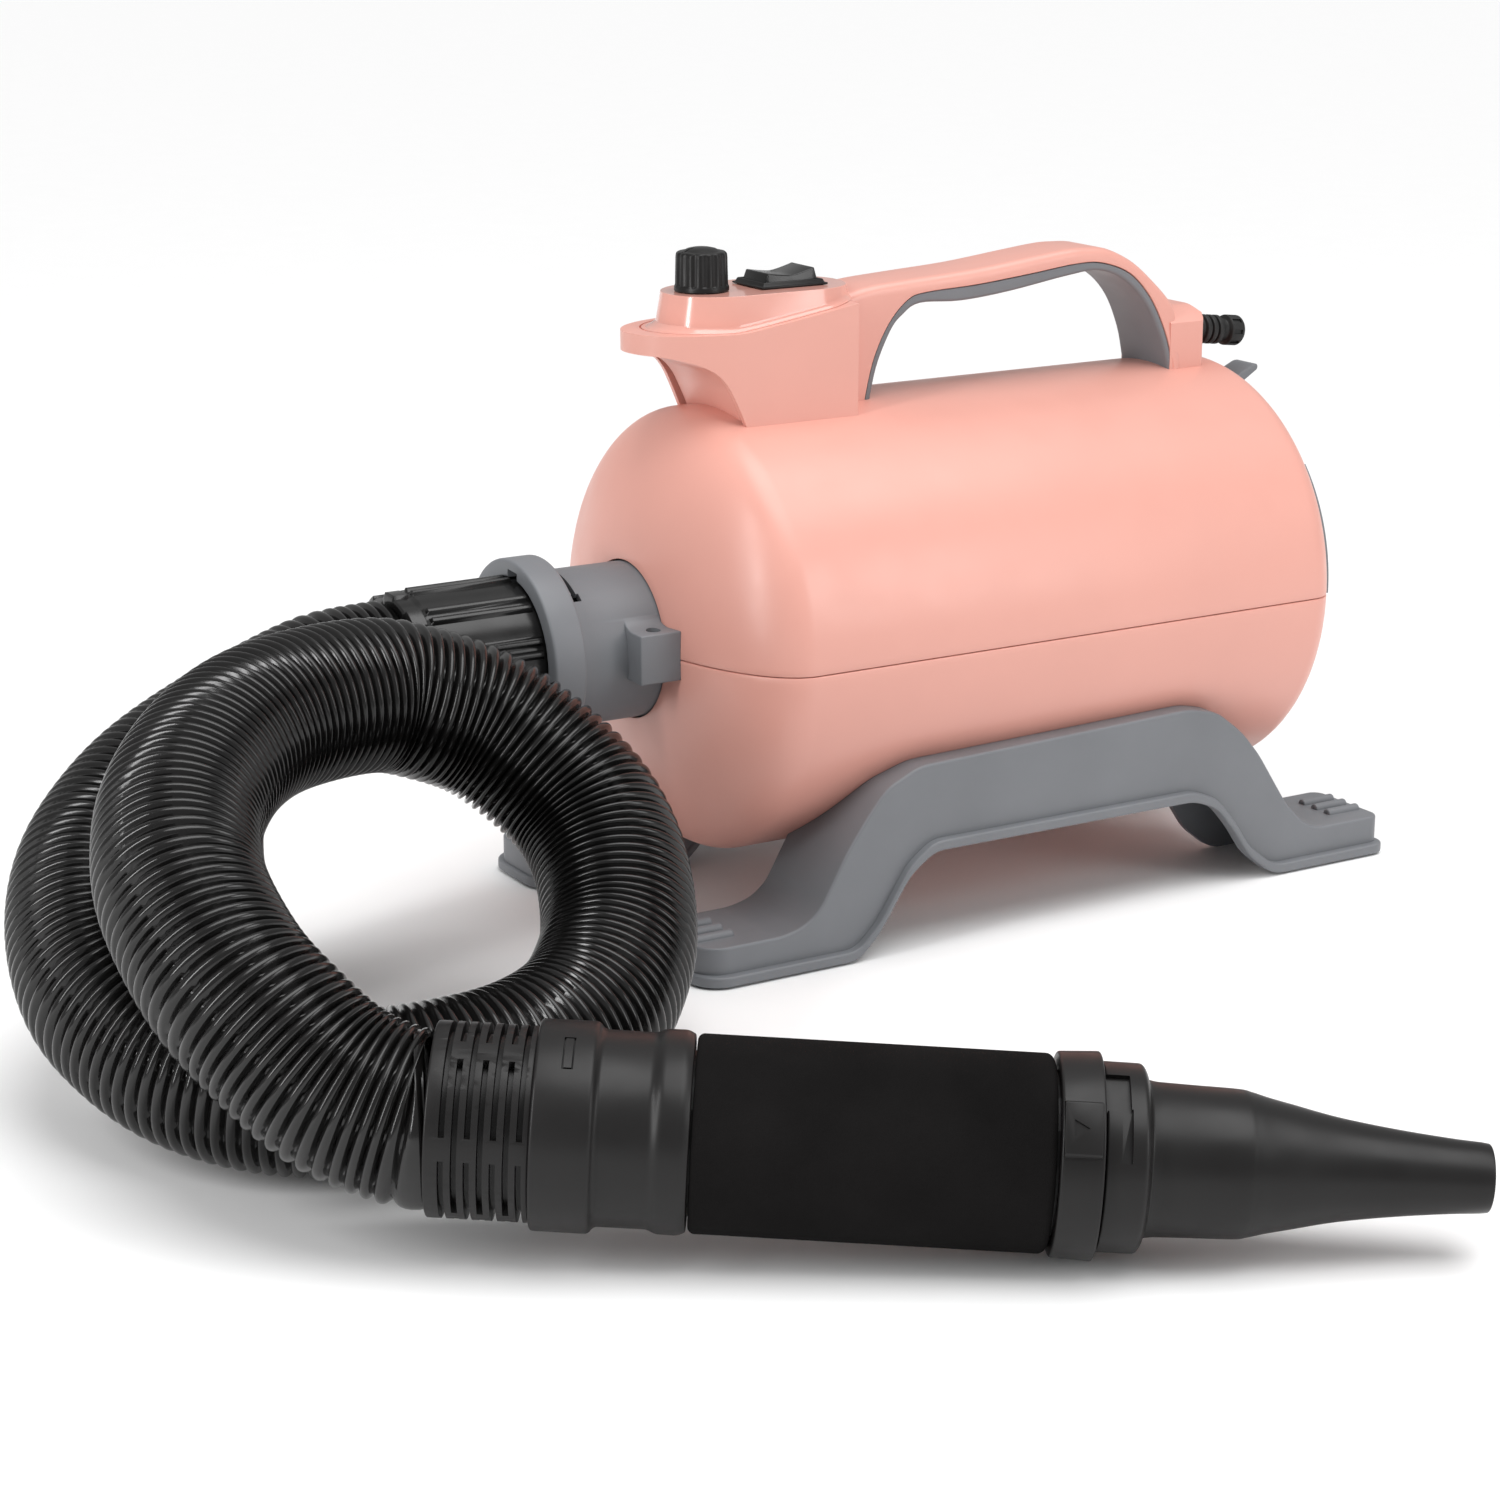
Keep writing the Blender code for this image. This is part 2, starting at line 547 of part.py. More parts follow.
# ---------------------------------------------------------------- hand wand, built along its own +X
def build_wand(dryer):
    wand = empty("wand_axis", dryer, WAND_TAIL, (0, math.radians(WAND_DIP), math.radians(WAND_PLAN_ANGLE)))
    cage_r, bore = 0.0326, 0.0290
    wall = [(0.0003, 0.0262), (0.0003, cage_r - 0.001), (0.0015, cage_r), (0.0345, cage_r), (0.0345, bore),
            (0.0025, bore), (0.0025, 0.0262)]
    cage = turned("wand_cage", wall, "black_plastic", wand, 24)
    slots = bmesh.new()
    for row in range(3):
        x = 0.0085 + 0.0088 * row
        for part in range(2):
            slot = turned_bmesh(tube_outline((x - 0.0012, x + 0.0012), 0.0280, 0.0345), 4, "X",
                                start=180 * part + 90 * (row % 2), sweep=150)
            add_copy(slots, slot)
    boolean(cage, cutter("cage_slots", finish(slots, "cage_slots"), wand))

    socket = [(0.0348, 0.0262), (0.0348, 0.0352), (0.0542, 0.0352), (0.0548, 0.0326), (0.0735, 0.0326),
              (0.0765, 0.0340), (0.0845, 0.0340), (0.0860, 0.0330), (0.0860, 0.0278), (0.0704, 0.0278),
              (0.0704, 0.0262)]
    turned("wand_socket", socket, "black_plastic", wand)
    turned("grip_tube", tube_outline((0.0708, 0.2066), 0.0255, 0.0275), "black_plastic", wand)
    turned("foam_grip", [(0.0868, 0.0279), (0.0868, 0.0322), (0.0885, 0.0331), (0.2033, 0.0331),
                         (0.2048, 0.0322), (0.2048, 0.0279)], "foam", wand)
    ring = [(0.2058, 0.0279), (0.2058, 0.0340), (0.2070, 0.0348), (0.2188, 0.0348), (0.2200, 0.0340),
            (0.2200, 0.0290), (0.2071, 0.0290), (0.2071, 0.0279)]
    lock = turned("lock_ring", ring, "black_plastic", wand)
    lugs = bmesh.new()
    for angle in (53, 233):
        lug = box_bmesh((0.2066, -0.0080, 0.0325), (0.2186, 0.0080, 0.0356))
        add_copy(lugs, lug, Matrix.Rotation(math.radians(angle), 4, "X"))
    boolean(lock, cutter("lock_lugs", finish(lugs, "lock_lugs"), wand), "UNION")

    pivot = empty("nozzle_pivot", wand)
    outer = [(0.2077, 0.0285), (0.2205, 0.0285), (0.2205, 0.0316), (0.2340, 0.0316), (0.2355, 0.0300),
             (0.2355, 0.0258), (0.2700, 0.0249), (0.2760, 0.0226), (0.2985, 0.0177), (0.3255, 0.0138),
             (0.3385, 0.0124), (0.3505, 0.0119)]
    inner = [(0.3505, 0.0100), (0.3255, 0.0116), (0.2985, 0.0155), (0.2745, 0.0210), (0.2077, 0.0238)]
    nozzle = turned("nozzle", outer + inner, "black_plastic", pivot, facets=20)
    window = bmesh.new()
    for angle, low_x, half in ((24, 0.2222, 0.0081), (54, 0.2256, 0.0085)):
        for opposite in (0, 180):
            new = box_bmesh((low_x, -half, 0.0290), (0.2288, half, 0.0335))
            add_copy(window, new, Matrix.Rotation(math.radians(angle + opposite), 4, "X"))
    boolean(nozzle, cutter("bayonet_windows", finish(window, "bayonet_windows"), pivot), self_overlap=True)
    return wand


# ---------------------------------------------------------------- stand
def build_skid(name, side, dryer, axis):
    faces_y = sorted((side * SKID_IN, side * SKID_OUT))
    bm = prism_bmesh(SKID_TOP + list(reversed(SKID_LOW)), faces_y[0], faces_y[1])
    round_ends(bm, SKID_END, FRONT_TOE_R, REAR_TOE_R)
    skid = add_object(name, finish(bm, name), "grey_trim", dryer)

    lip_top = [(x, z + LIP_HEIGHT) for x, z in SKID_LOW]
    lip_top[0] = (-SKID_END - 0.0016, lip_top[0][1])
    lip_top[-1] = (SKID_END + 0.0016, lip_top[-1][1])
    lip_low = list(SKID_LOW)
    lip_low[0] = (-SKID_END - 0.0016, SKID_BASE)
    lip_low[-1] = (SKID_END + 0.0016, SKID_BASE)
    lip_y = sorted((side * (SKID_IN - 0.0012), side * SKID_LIP))
    bm = prism_bmesh(lip_top + list(reversed(lip_low)), lip_y[0], lip_y[1])
    round_ends(bm, SKID_END + 0.0016, FRONT_TOE_R + 0.0015, REAR_TOE_R + 0.0015)
    boolean(skid, cutter(name + "_lip", finish(bm, name + "_lip"), dryer), "UNION")

    ribs = bmesh.new()
    middle = side * (SKID_IN + SKID_OUT) / 2
    for end, top in ((-1, SKID_TOP[0][1]), (1, SKID_TOP[-1][1])):
        for rib in (-1, 0, 1):
            low, high = sorted((end * 0.1600, end * 0.1755))
            new = turned_bmesh(disc_outline((low, high), 0.0022), 6, "X", start=30)
            shift = Matrix.Translation((0, middle + rib * 0.0085, top))
            add_copy(ribs, new, shift)
    boolean(skid, cutter(name + "_ribs", finish(ribs, name + "_ribs"), dryer), "UNION")

    hollow_top = [(x, z - SKID_WALL) for x, z in SKID_TOP]
    hollow_top[0] = (-SKID_END + SKID_WALL, hollow_top[0][1])
    hollow_top[-1] = (SKID_END - SKID_WALL, hollow_top[-1][1])
    hollow_low = [(x, z - 0.004) for x, z in SKID_LOW]
    hollow_low[0] = (-SKID_END + SKID_WALL, hollow_low[0][1])
    hollow_low[-1] = (SKID_END - SKID_WALL, hollow_low[-1][1])
    hollow_y = sorted((side * (SKID_IN + SKID_WALL), side * (SKID_OUT - SKID_WALL)))
    bm = prism_bmesh(hollow_top + list(reversed(hollow_low)), hollow_y[0], hollow_y[1])
    round_ends(bm, SKID_END - SKID_WALL, FRONT_TOE_R - SKID_WALL, REAR_TOE_R - SKID_WALL)
    hollow = cutter(name + "_hollow", finish(bm, name + "_hollow"), dryer)
    boolean(hollow, barrel(axis, name + "_web", BODY_R + GAP + SKID_WALL))
    posts = bmesh.new()
    for x in (-PAD_X, PAD_X):
        place = Matrix.Translation((x, middle, 0))
        add_copy(posts, turned_bmesh(disc_outline((-0.01, 0.0160), 0.0085), 10, "Z"), place)
    for x in SCREW_X:
        place = Matrix.Translation((x, side * SCREW_Y, 0))
        add_copy(posts, turned_bmesh(disc_outline((SCREW_BOSS_Z, 0.085), 0.0060), 10, "Z"), place)
    boolean(hollow, cutter(name + "_posts", finish(posts, "posts"), dryer))
    boolean(skid, hollow)
    boolean(skid, barrel(axis, name + "_seat", BODY_R + GAP))
    boolean(skid, screw_holes(name + "_screw_holes", axis))
    cuts = bmesh.new()
    for x in (-PAD_X, PAD_X):
        place = Matrix.Translation((x, middle, 0))
        add_copy(cuts, turned_bmesh(disc_outline((-0.01, SKID_BASE + 0.0030), 0.0066), 10, "Z"), place)
    boolean(skid, cutter(name + "_pad_seats", finish(cuts, "pad_seats"), dryer))
    return skid


def build_stand(dryer, axis):
    for name, side in (("stand_right", -1), ("stand_left", 1)):
        build_skid(name, side, dryer, axis)
    middle = (SKID_IN + SKID_OUT) / 2
    outline = [(0.0, 0.0), (0.0, 0.0058), (0.0010, 0.0063), (SKID_BASE + 0.0026, 0.0063),
               (SKID_BASE + 0.0026, 0.0)]
    for place, x in (("front", -PAD_X), ("rear", PAD_X)):
        for hand, side in (("right", -1), ("left", 1)):
            pad = turned(f"foot_pad_{place}_{hand}", outline, "rubber", dryer, 10, "Z")
            pad.location = (x, side * middle, 0)


# ---------------------------------------------------------------- control pod, handle, cord block
def brim_height(x):
    part = max(0.0, (x - SHOULDER_X) / (POD_REAR - SHOULDER_X))
    return BRIM_FRONT_Z + (BRIM_REAR_Z - BRIM_FRONT_Z) * part


def bow(half, tip, steps=8):
    """Half an ellipse from the shoulder round a front tip."""
    reach = SHOULDER_X - tip
    points = []
    for step in range(2 * steps + 1):
        angle = math.radians(-90 + 90 * step / steps)
        points.append((SHOULDER_X - reach * math.cos(angle), half * math.sin(angle)))
    return points


def pod_outline(inset=0.0, rear=POD_REAR):
    """Boat-shaped plan: straight sides from the rear, then a rounded bow."""
    half = POD_HALF - inset
    return [(rear, -half)] + bow(half, POD_TIP + inset) + [(rear, half)]


def panel_outline(half, tip):
    """A bow closed by a half round rear end."""
    return arc_points((PANEL_ROUND_X, 0), half, 90, -90, 12) + bow(half, tip)


def split_at_shoulder(bm):
    """The brim's level front and its rising rear meet in an edge across the shoulder."""
    geometry = bm.verts[:] + bm.edges[:] + bm.faces[:]
    bmesh.ops.bisect_plane(bm, geom=geometry, dist=1e-6, plane_co=(SHOULDER_X, 0, 0), plane_no=(1, 0, 0))


def sloped_prism(name, outline, low, top, colour, parent):
    """A prism over a plan outline whose top follows a height function of X."""
    bm = prism_bmesh(outline, low, low + 0.1, "XY")
    split_at_shoulder(bm)
    for vert in bm.verts:
        if vert.co.z > low + 0.05:
            vert.co.z = top(vert.co.x)
    mesh = finish(bm, name)
    return cutter(name, mesh, parent) if colour is None else add_object(name, mesh, colour, parent)


def build_pod(dryer, axis):
    base = BODY_Z + 0.070
    pod = sloped_prism("control_pod", pod_outline(), base, brim_height, "pink_shell", dryer)
    hollow_plan = pod_outline(0.0026, POD_REAR - 0.0026)
    hollow = sloped_prism("pod_hollow", hollow_plan, base - 0.01, lambda x: brim_height(x) - 0.003, None,
                          dryer)
    boolean(pod, hollow)
    window = prism_bmesh(pod_outline(0.0105, POD_REAR - 0.0040), base, 0.3, "XY")
    boolean(pod, cutter("pod_window", finish(window, "pod_window"), dryer))
    arch = [(-0.1700, 0.1900), (-0.1700, 0.2474), (-0.1620, 0.2472), (-0.1537, 0.2466), (-0.1459, 0.2450),
            (-0.1389, 0.2428), (-0.1332, 0.2392), (-0.1289, 0.2344), (-0.1260, 0.2292), (-0.1232, 0.2233),
            (-0.1203, 0.2167), (-0.1195, 0.1900)]
    boolean(pod, cutter("pod_arch", finish(prism_bmesh(arch, -0.05, 0.05), "pod_arch"), dryer))
    boolean(pod, body_cutter(axis, "pod_seat", GAP))

    neck_half, neck_rear, neck_wall = 0.0228, -0.0700, 0.0012
    under_hood = brim_height(POD_TIP) - 0.0033
    front = [(x + 0.0018, z - 0.0010) for x, z in arch[5:-1]]
    neck_side = [(neck_rear, base), (neck_rear, under_hood), (front[0][0], under_hood)] + front + [(front[-1][0], base)]
    neck = prism("pod_neck", neck_side, -neck_half, neck_half, "pink_shell", dryer)
    inner_side = [(neck_rear + neck_wall, base - 0.01), (neck_rear + neck_wall, under_hood + 0.01),
                  (front[0][0] + neck_wall, under_hood + 0.01)]
    inner_side += [(x + neck_wall, z) for x, z in front] + [(front[-1][0] + neck_wall, base - 0.01)]
    inner = prism_bmesh(inner_side, neck_wall - neck_half, neck_half - neck_wall)
    boolean(neck, cutter("neck_hollow", finish(inner, "neck_hollow"), dryer))
    boolean(neck, body_cutter(axis, "neck_seat", GAP))

    panel = prism_bmesh(panel_outline(*PANEL_FOOT), 0.0, 1.0, "XY")
    split_at_shoulder(panel)
    half_shrink = PANEL_TOP[0] / PANEL_FOOT[0]
    bow_shrink = (SHOULDER_X - PANEL_TOP[1]) / (SHOULDER_X - PANEL_FOOT[1])
    for vert in panel.verts:
        if vert.co.z < 0.5:
            vert.co.z = brim_height(vert.co.x) + GAP
            continue
        vert.co.y *= half_shrink
        vert.co.z = PANEL_Z
        if vert.co.x < SHOULDER_X:
            vert.co.x = SHOULDER_X + (vert.co.x - SHOULDER_X) * bow_shrink
        elif vert.co.x > PANEL_ROUND_X:
            vert.co.x = PANEL_ROUND_X + (vert.co.x - PANEL_ROUND_X) * half_shrink
    panel_piece = add_object("control_panel", finish(panel, "control_panel"), "pink_shell", dryer)
    handle_side = [(POD_REAR, 0.25)] + [(x, z + GAP) for x, z in HANDLE_TOP[:3]] + [(HANDLE_TOP[2][0], 0.25)]
    handle_tool = prism_bmesh(handle_side, -HANDLE_HALF - GAP, HANDLE_HALF + GAP)
    boolean(panel_piece, cutter("panel_rear_seat", finish(handle_tool, "panel_rear_seat"), dryer))
    under = prism_bmesh(panel_outline(0.0165, -0.1400), 0.24, PANEL_Z - 0.0024, "XY")
    boolean(panel_piece, cutter("panel_hollow", finish(under, "panel_hollow"), dryer))
    holes = bmesh.new()
    half_x, half_y = SWITCH_SIZE[0] / 2 - 0.0018, SWITCH_SIZE[1] / 2 - 0.0010
    low, high = (SWITCH_X - half_x - GAP, -half_y - GAP, 0.25), (SWITCH_X + half_x + GAP, half_y + GAP, 0.28)
    box_bmesh(low, high, holes)
    new = turned_bmesh(disc_outline((0.25, 0.28), 0.0048), 10, "Z")
    add_copy(holes, new, Matrix.Translation((KNOB_X, 0, 0)))
    boolean(panel_piece, cutter("panel_holes", finish(holes, "panel_holes"), dryer))


def build_controls(dryer):
    half_x, half_y = SWITCH_SIZE[0] / 2, SWITCH_SIZE[1] / 2
    body = box("switch_body", (SWITCH_X - half_x + 0.0018, -half_y + 0.0010, PANEL_Z - 0.0190),
               (SWITCH_X + half_x - 0.0018, half_y - 0.0010, PANEL_Z + GAP + 0.0005), "black_plastic", dryer)
    bezel = bmesh.new()
    low, high = (SWITCH_X - half_x, -half_y, PANEL_Z + GAP), (SWITCH_X + half_x, half_y, PANEL_Z + 0.0022)
    box_bmesh(low, high, bezel)
    boolean(body, cutter("switch_bezel", finish(bezel, "switch_bezel"), dryer), "UNION")
    well = bmesh.new()
    clear = 0.0006
    box_bmesh((SWITCH_X - ROCKER_SIZE[0] / 2 - clear, -ROCKER_SIZE[1] / 2 - clear, PANEL_Z - 0.0060),
              (SWITCH_X + ROCKER_SIZE[0] / 2 + clear, ROCKER_SIZE[1] / 2 + clear, PANEL_Z + 0.01), well)
    boolean(body, cutter("switch_well", finish(well, "switch_well"), dryer))

    pivot = empty("rocker_pivot", dryer, (SWITCH_X, 0, PANEL_Z + 0.0010))
    half = ROCKER_SIZE[0] / 2
    side_view = [(-half, -0.0005), (-half + 0.0018, ROCKER_ENDS[0]), (0.0, 0.0040),
                 (half - 0.0018, ROCKER_ENDS[1]), (half, -0.0005), (half - 0.0030, -0.0022),
                 (0.0, -0.0045), (-half + 0.0030, -0.0022)]
    prism("rocker", side_view, -ROCKER_SIZE[1] / 2, ROCKER_SIZE[1] / 2, "black_plastic", pivot)

    knob_pivot = empty("knob_pivot", dryer, (KNOB_X, 0, PANEL_Z))
    flutes = 14
    plan = []
    for step in range(flutes * 2):
        angle = math.pi * step / flutes
        radius = KNOB_R if step % 2 == 0 else KNOB_R - 0.0006
        plan.append((radius * math.cos(angle), radius * math.sin(angle)))
    knob = bmesh.new()
    rings = [(0.0023, 1.0), (KNOB_HEIGHT - 0.0038, 0.965), (KNOB_HEIGHT - 0.0018, 0.90),
             (KNOB_HEIGHT - 0.0004, 0.62), (KNOB_HEIGHT, 0.30)]
    loops = [[knob.verts.new((x * scale, y * scale, z)) for x, y in plan] for z, scale in rings]
    for below, above in zip(loops, loops[1:]):
        for index in range(len(plan)):
            after = (index + 1) % len(plan)
            knob.faces.new((below[index], below[after], above[after], above[index]))
    knob.faces.new(list(reversed(loops[0])))
    knob.faces.new(loops[-1])
    knob_piece = add_object("speed_knob", finish(knob, "speed_knob"), "black_plastic", knob_pivot)
    skirt = turned_bmesh(disc_outline((0.0006, 0.0028), KNOB_R + 0.0004), 24, "Z")
    boolean(knob_piece, cutter("knob_skirt", finish(skirt, "knob_skirt"), knob_pivot), "UNION")
    bore = turned_bmesh([(-0.001, 0.0), (-0.001, 0.0075), (0.0034, 0.0075), (0.0034, 0.0033), (0.0125, 0.0033),
                         (0.0125, 0.0)], SMALL_FACETS, "Z")
    boolean(knob_piece, cutter("knob_bore", finish(bore, "knob_bore"), knob_pivot))
    turned("pot_shaft", disc_outline((-0.0115, 0.0120), 0.0030), "aluminium", knob_pivot, 10, "Z")

    pot = turned("potentiometer", [(-0.0123, 0.0), (-0.0123, 0.0082), (-0.0045, 0.0082), (-0.0045, 0.0044),
                                   (0.0030, 0.0044), (0.0030, 0.0033), (-0.0118, 0.0033), (-0.0118, 0.0)],
                 "zinc", dryer, 20, "Z")
    pot.location = (KNOB_X, 0, PANEL_Z)
    low, high = (-0.1230, -0.0120, 0.2325), (-0.0930, 0.0120, 0.2341)
    board = box("control_board", low, high, "circuit_board", dryer)
    parts = bmesh.new()
    for low, high in (((-0.120, -0.010, 0.2335), (-0.110, -0.003, 0.2395)),
                      ((-0.106, -0.009, 0.2335), (-0.098, 0.000, 0.2405)),
                      ((-0.118, 0.003, 0.2335), (-0.108, 0.010, 0.2380))):
        box_bmesh(low, high, parts)
    boolean(board, cutter("board_parts", finish(parts, "board_parts"), dryer), "UNION")


def widen_rear_leg(piece):
    """The handle's rear leg grows wider on its way down to the shell."""
    for vert in piece.data.vertices:
        if vert.co.x > 0.05:
            part = min(1.0, max(0.0, (0.2600 - vert.co.z) / 0.0450))
            vert.co.y *= 1 + (REAR_LEG_HALF / HANDLE_HALF - 1) * part


def build_handle(dryer, axis):
    foot = BODY_Z + 0.080
    joint = [(HANDLE_JOINT[0][0], foot)] + HANDLE_JOINT + [(HANDLE_JOINT[-1][0] - 0.0006, foot)]
    bow_outline = [(HANDLE_TOP[0][0], foot)] + HANDLE_TOP + [(HANDLE_TOP[-1][0], foot)] + joint
    handle = prism("handle_bow", bow_outline, -HANDLE_HALF, HANDLE_HALF, "pink_shell", dryer)
    widen_rear_leg(handle)
    boolean(handle, body_cutter(axis, "bow_seat", GAP))

    centre = Vector((0.028, 0.225))
    pulled = []
    for x, z in HANDLE_JOINT:
        inward = (centre - Vector((x, z))).normalized() * GAP * 1.3
        pulled.append((x + inward.x, z + inward.y))
    grip_outline = ([(pulled[0][0], foot)] + pulled + [(pulled[-1][0] - 0.0006, foot)]
                    + [(HANDLE_OPEN[-1][0] - 0.0004, foot)] + list(reversed(HANDLE_OPEN))
                    + [(HANDLE_OPEN[0][0] + 0.0004, foot)])
    grip = prism("handle_grip", grip_outline, -HANDLE_HALF + 0.0006, HANDLE_HALF - 0.0006, "grey_trim", dryer)
    widen_rear_leg(grip)
    boolean(grip, body_cutter(axis, "grip_seat", GAP))

    plan = [(0.1125, -BLOCK_HALF), (0.1272, -BLOCK_HALF), (BLOCK_X[1], -0.0090), (BLOCK_X[1], 0.0090),
            (0.1272, BLOCK_HALF), (0.1125, BLOCK_HALF)]
    side_view = [(BLOCK_X[0], foot), (BLOCK_X[0], 0.2400), (0.1132, BLOCK_TOP_Z), (0.1252, BLOCK_TOP_Z),
                 (BLOCK_X[1], 0.2412), (BLOCK_X[1] + 0.001, 0.2400), (BLOCK_X[1] + 0.001, foot)]
    end_view = [(-0.02, foot - 0.001), (-0.02, 0.2386), (-0.0080, BLOCK_TOP_Z), (0.0080, BLOCK_TOP_Z),
                (0.02, 0.2386), (0.02, foot - 0.001)]
    block = prism("cord_block", plan, foot, BLOCK_TOP_Z + 0.001, "pink_shell", dryer, "XY")
    profile = prism_bmesh(side_view, -0.03, 0.03)
    boolean(block, cutter("block_profile", finish(profile, "block_profile"), dryer), "INTERSECT")
    chamfers = prism_bmesh(end_view, 0.11, 0.14, "YZ")
    boolean(block, cutter("block_chamfers", finish(chamfers, "block_chamfers"), dryer), "INTERSECT")
    boolean(block, body_cutter(axis, "block_seat", GAP))
    cave = bmesh.new()
    box_bmesh((BLOCK_X[0] + 0.0022, -0.011, foot - 0.01), (BLOCK_X[1] - 0.0022, 0.011, 0.2415), cave)
    boolean(block, cutter("block_cave", finish(cave, "block_cave"), dryer))

    tilt = empty("gland_axis", dryer, (BLOCK_X[1], 0, GLAND_AXIS_Z), (0, math.radians(GLAND_DROOP), 0))
    hole = turned_bmesh(disc_outline((-0.010, 0.004), 0.0046), 10, "X")
    boolean(block, cutter("gland_hole", finish(hole, "gland_hole"), tilt))
    gland = [(-0.0060, 0.0030), (-0.0060, 0.0054), (-0.0030, 0.0054), (-0.0030, 0.0042), (0.0008, 0.0042),
             (0.0008, 0.0070), (0.0040, 0.0072), (0.0040, 0.0056), (0.0095, 0.0056), (0.0095, 0.0068),
             (0.0175, 0.0068), (0.0175, 0.0052), (0.0220, 0.0052), (0.0220, 0.0070), (0.0298, 0.0070),
             (0.0305, 0.0060), (0.0305, 0.0030)]
    turned("cord_gland", gland, "rubber", tilt, SMALL_FACETS)
    return tilt


# ---------------------------------------------------------------- rear: filter cover, foam and grille
def build_rear(axis):
    """Twist-off cover: a rim in the shell's rear opening, a spoked guard, two blades and two low ramps."""
    pivot = empty("cover_pivot", axis)
    rings = turned_bmesh([(0.1424, 0.0770), (0.1424, 0.0805), (0.1486, 0.0805), (0.1486, 0.0825),
                          (0.1500, 0.0825), (0.1514, 0.0802), (0.1526, 0.0770)], FACETS, "X")
    turned_bmesh(tube_outline((0.1490, 0.1526), 0.0480, 0.0560), 20, "X", bm=rings)
    turned_bmesh(disc_outline((0.1505, 0.1550), 0.0200), SMALL_FACETS, "X", bm=rings)
    cover = add_object("filter_cover", finish(rings, "filter_cover"), "grey_trim", pivot)
    spokes = [(y, z - BODY_Z) for y, z in star_outline(8, 0.0100, 0.0790, 0.0022)]
    boolean(cover, cutter("cover_spokes", finish(prism_bmesh(spokes, 0.1482, 0.1520, "YZ"), "cover_spokes"),
                          pivot), "UNION")
    grips = bmesh.new()
    for half_turn in (0, 180):
        blade = prism_bmesh([(0.1490, 0.0795), (0.1490, 0.0822), (0.1660, 0.0897), (0.1685, 0.0897),
                             (0.1685, 0.0873), (0.1522, 0.0790)], -0.0075, 0.0075, "XZ")
        add_copy(grips, blade, Matrix.Rotation(math.radians(half_turn), 4, "X"))
        ramp = turned_bmesh([(0.1488, 0.0790), (0.1488, 0.0837), (0.1512, 0.0837), (0.1516, 0.0790)], 6, "X",
                            start=140 + half_turn, sweep=41)
        add_copy(grips, ramp)
    boolean(cover, cutter("cover_grips", finish(grips, "cover_grips"), pivot), "UNION")

    turned("filter_foam", disc_outline((0.1330, 0.1415), 0.0760), "filter_foam", axis, FACETS)
    grille = turned_bmesh(tube_outline((0.1285, 0.1315), 0.0790, BODY_R - WALL - GAP), FACETS, "X")
    turned_bmesh(tube_outline((0.1285, 0.1315), 0.0460, 0.0500), 20, "X", bm=grille)
    piece = add_object("intake_grille", finish(grille, "intake_grille"), "black_plastic", axis)
    spokes = [(y, z - BODY_Z) for y, z in star_outline(6, 0.0060, 0.0800, 0.0018)]
    boolean(piece, cutter("grille_spokes", finish(prism_bmesh(spokes, 0.1287, 0.1313, "YZ"),
                                                  "grille_spokes"), axis), "UNION")


# ---------------------------------------------------------------- motor and fan
def gear_outline(teeth, root, tip, share=0.62):
    points = []
    for tooth in range(teeth):
        pitch = 2 * math.pi / teeth
        middle = tooth * pitch
        half = pitch * share / 2
        for angle, radius in ((middle - half, tip), (middle + half, tip), (middle + half, root),
                              (middle + pitch - half, root)):
            points.append((radius * math.cos(angle), radius * math.sin(angle)))
    return points


def curved_frame(bm, radii, window, frame, facets=10):
    """A flat frame bent round X: `window` and `frame` are (half angle, low x, high x)."""
    columns = []
    half_in, half_out = window[0], frame[0]
    angles = [-half_out] + [-half_in + 2 * half_in * step / facets for step in range(facets + 1)] + [half_out]
    xs = [frame[1], window[1], window[2], frame[2]]
    grid = {}
    for layer, radius in enumerate(radii):
        for column, angle in enumerate(angles):
            for row, x in enumerate(xs):
                turn = math.radians(angle)
                grid[layer, column, row] = bm.verts.new((x, radius * math.sin(turn), radius * math.cos(turn)))
    solid = set()
    for column in range(len(angles) - 1):
        for row in range(3):
            if not (row == 1 and 1 <= column <= facets):
                solid.add((column, row))
    for column, row in solid:
        for layer in (0, 1):
            ring = [(layer, column, row), (layer, column + 1, row), (layer, column + 1, row + 1),
                    (layer, column, row + 1)]
            bm.faces.new([grid[key] for key in (ring if layer else reversed(ring))])
        for (dc, dr), (first, second) in (((-1, 0), ((0, 0), (0, 1))), ((1, 0), ((1, 0), (1, 1))),
                                          ((0, -1), ((0, 0), (1, 0))), ((0, 1), ((0, 1), (1, 1)))):
            if (column + dc, row + dr) in solid:
                continue
            a = (column + first[0], row + first[1])
            b = (column + second[0], row + second[1])
            bm.faces.new([grid[0, a[0], a[1]], grid[0, b[0], b[1]], grid[1, b[0], b[1]], grid[1, a[0], a[1]]])


